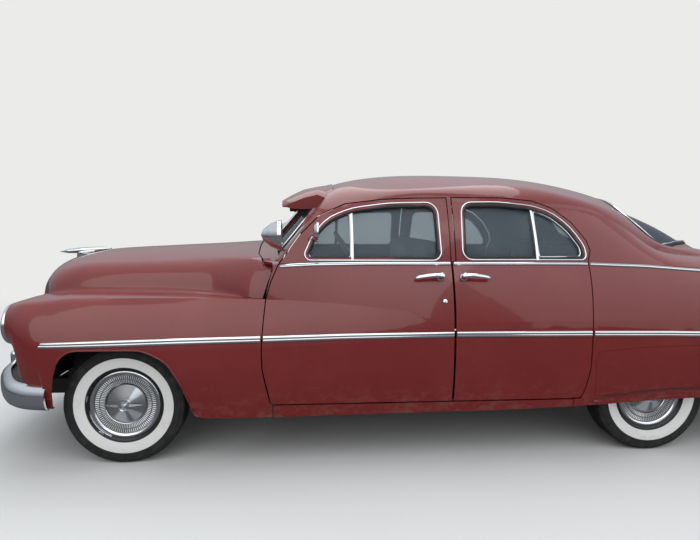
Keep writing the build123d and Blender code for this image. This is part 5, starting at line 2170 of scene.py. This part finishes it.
    def balance(self, center: Vector, axis: Vector, word: str) -> None:
        """Bright trim strip and two clip weights left on the rim's lip.

        Args:
            center: Middle of the wheel.
            axis: Outward direction of the wheel.
            word: left or right.
        """
        def lip(radius: float, degrees: float) -> Vector:
            """Point on the rim at an angle below the front of the wheel."""
            turn = math.radians(degrees)
            return Vector((-radius * math.cos(turn), 0, -radius * math.sin(turn)))
        radius, stand = self.strip_lip
        path = [center + lip(radius, 10 + 56 * i / 14) + axis * stand for i in range(15)]
        pieces = [Bench.run("strip", path, axis, self.strip_section, smooth=60)]
        radius, stand = self.clip_lip
        for place in self.clips:
            path = [center + lip(radius, place + k * 1.6) + axis * stand for k in range(-3, 4)]
            pieces.append(Bench.run("clip", path, axis, self.clip_section, self.clip_sizes, smooth=60))
        Bench.dress(Bench.join(f"rim_strip_{word}", pieces), self.finishes.chrome, f"{word}_front_wheel")

    def fit(self, end: str, side: float, turn: float) -> None:
        """Build one wheel in place of the plain one.

        Args:
            end: front or rear.
            side: LEFT or RIGHT.
            turn: Degrees that the spinner is turned from level.
        """
        word, node = SIDE_NAMES[side], f"{end}_wheel_{SIDE_NAMES[side]}"
        axis = Vector((0, side, 0))
        heart = middle(f"{end}_tyre_{word}")
        rim = Bench.lathe(f"rim_{end}_{word}", self.rim, heart, axis, 96)
        Bench.dress(rim, self.finishes.black_gloss, f"{word}_{end}_wheel", node)
        center = heart + axis * self.cover_stand
        plate = Bench.lathe("plate", self.cover, center, axis, 128)
        rings = [self.fluted(*ring, center, axis) for ring in self.rings]
        cover = Bench.join(f"wheel_cover_{end}_{word}", [plate, *rings, self.spinner(center, axis, turn)])
        Bench.dress(cover, self.finishes.cover[end], f"{word}_{end}_wheel", node)
        if end == "front" and side == LEFT:
            self.balance(heart, axis, word)

    def build(self) -> None:
        """Fit all four wheels."""
        for end, side, turn in self.places:
            self.fit(end, side, turn)
            self.tyre(end, side)


# The stage


@dataclass
class Stage:
    """Pale floor, soft lamps and the camera at the photograph's place."""

    eye: Triple = (-0.77658, -3.66978, 1.32699)
    yaw: float = 0.079643
    pitch: float = 0.0913957
    roll: float = -0.00637
    lens: float = 26.848
    sensor: float = 36.0
    # Floor: radius, how far its middle lies past the car, where it fades into the backdrop.
    floor_radius: float = 26
    floor_shift: float = 6.0
    fade: Pair = (2.6, 7.5)
    pale: Color = rgb(0.74, 0.74, 0.73)
    shade: Color = rgb(0.12, 0.12, 0.125)
    horizon: Color = rgb(0.3, 0.31, 0.33)
    zenith: Color = rgb(0.8, 0.85, 0.92)
    backdrop: Color = rgb(0.83, 0.83, 0.82)
    # Lamp: name, place, point it faces, size, watts, light.
    lamps: tuple[tuple[str, Triple, Triple, float, float, Triple], ...] = (
        ("key", (-2.5, -7.5, 6.5), (0.3, 0, 0.5), 11.0, 380, (1.0, 0.97, 0.93)),
        ("fill", (6.5, -6.0, 4.5), (0.5, 0, 0.6), 9.0, 170, (1, 1, 1)),
        ("top", (0.0, 1.5, 7.5), (0, 0, 0.8), 7.0, 260, (1, 1, 1)))

    def camera(self) -> None:
        """Place the camera."""
        look = Vector((math.sin(self.yaw) * math.cos(self.pitch),
                       math.cos(self.yaw) * math.cos(self.pitch), -math.sin(self.pitch)))
        side = Vector((math.cos(self.yaw), -math.sin(self.yaw), 0))
        drop = look.cross(side)
        c, s = math.cos(self.roll), math.sin(self.roll)
        right, down = side * c + drop * s, drop * c - side * s
        data = bpy.data.cameras.new("camera")
        data.lens, data.sensor_width, data.sensor_fit = self.lens, self.sensor, "HORIZONTAL"
        camera = bpy.data.objects.new("camera", data)
        bpy.context.scene.collection.objects.link(camera)
        turn = Matrix((right, -down, -look)).transposed()
        camera.matrix_world = Matrix.Translation(self.eye) @ turn.to_4x4()
        bpy.context.scene.camera = camera

    def floor(self) -> None:
        """Lay the floor: pale to the camera, and darker in the plating's reflections."""
        Bench.clear()
        bpy.ops.mesh.primitive_circle_add(vertices=96, radius=self.floor_radius, fill_type="NGON",
                                          location=(0, self.floor_shift, 0))
        floor = bpy.context.object
        floor.name = "floor"
        s = Shader("floor_plaster")
        tone = s.blend(s.noise(1.3, 5, 0.6), self.pale, rgb(0.7, 0.7, 0.69))
        seen = s.node("ShaderNodeLightPath", {}, {}, "Is Glossy Ray")
        near = s.principled({"Base Color": tone, "Roughness": 0.85, "Specular IOR Level": 0.1,
                             "Normal": s.bump(s.noise(60, 3), 0.001, 0.3)})
        dark = s.principled({"Base Color": self.shade, "Roughness": 0.9, "Specular IOR Level": 0.0})
        held = s.node("ShaderNodeMixShader", {}, {0: seen, 1: near, 2: dark})
        x, y = s.axis("X"), s.axis("Y") + self.floor_shift
        away = (x * x * 0.6 + y * y).power(0.5).ramp(*self.fade)
        camera = s.node("ShaderNodeLightPath", {}, {}, "Is Camera Ray")
        haze = s.node("ShaderNodeEmission", {}, {"Color": self.backdrop, "Strength": 1.0})
        floor.data.materials.append(s.finish(s.node("ShaderNodeMixShader", {}, {
            0: away * camera, 1: held, 2: haze})))

    def lamp(self, name: str, place: Triple, target: Triple, size: float, power: float,
             color: Triple) -> None:
        """Hang one soft lamp.

        Args:
            name: The lamp's name.
            place: Where it hangs.
            target: The point it faces.
            size: Side of its square face.
            power: Watts.
            color: Its light.
        """
        data = bpy.data.lights.new(name, "AREA")
        data.shape, data.size, data.energy, data.color = "SQUARE", size, power, color
        lamp = bpy.data.objects.new(name, data)
        bpy.context.scene.collection.objects.link(lamp)
        way = Vector(target) - Vector(place)
        lamp.matrix_world = Matrix.Translation(place) @ way.to_track_quat("-Z", "Y").to_matrix().to_4x4()

    def sky(self) -> None:
        """Wrap the scene in a sky that is pale to the camera and graded in reflections."""
        scene = bpy.context.scene
        scene.world = scene.world or bpy.data.worlds.new("sky")
        s = Shader("sky", scene.world)
        way = s.node("ShaderNodeTexCoord", {}, {}, "Generated")
        height = s.node("ShaderNodeSeparateXYZ", {}, {0: way}, "Z")
        grade = s.node("ShaderNodeValToRGB", {"stops": ((0.02, self.horizon), (0.55, self.zenith))},
                       {0: height})
        seen = s.node("ShaderNodeLightPath", {}, {}, "Is Camera Ray")
        graded = s.node("ShaderNodeBackground", {}, {"Color": grade, "Strength": 0.8})
        plain = s.node("ShaderNodeBackground", {}, {"Color": self.backdrop})
        s.finish(s.node("ShaderNodeMixShader", {}, {0: seen, 1: graded, 2: plain}))

    def build(self) -> None:
        """Set the whole stage."""
        self.camera()
        self.floor()
        for lamp in self.lamps:
            self.lamp(*lamp)
        self.sky()
        bpy.context.scene.view_settings.view_transform = "Standard"
        log.info("stage set")


def main() -> None:
    """Build every piece in order."""
    Stage().build()
    finishes = Finishes()
    dress_frame(finishes)
    front = FrontPanels(finishes)
    made = front.build()
    Headlamps(finishes).build()
    Grille(finishes, front).build()
    skin = Skin([name for name in frame["nodes"] if "glass" not in name and name.startswith(
        ("front_door", "rear_door", "quarter", "roof", "cowl"))], made)
    for side in SIDE_NAMES:
        front.arch_lip(skin, side)
    FrontBumper(finishes, front).build()
    WheelHouse(finishes).build()
    BodyLips(finishes, skin).build()
    SunVisor(finishes, skin).build()
    Windscreen(finishes).build()
    CowlCorner(finishes, front).build()
    Seats(finishes).build()
    SideTrim(finishes, skin).build()
    WindowTrim(finishes, skin).build()
    DoorHandles(finishes, skin).build()
    RoadWheel(finishes).build()


if __name__ == "__main__":
    main()
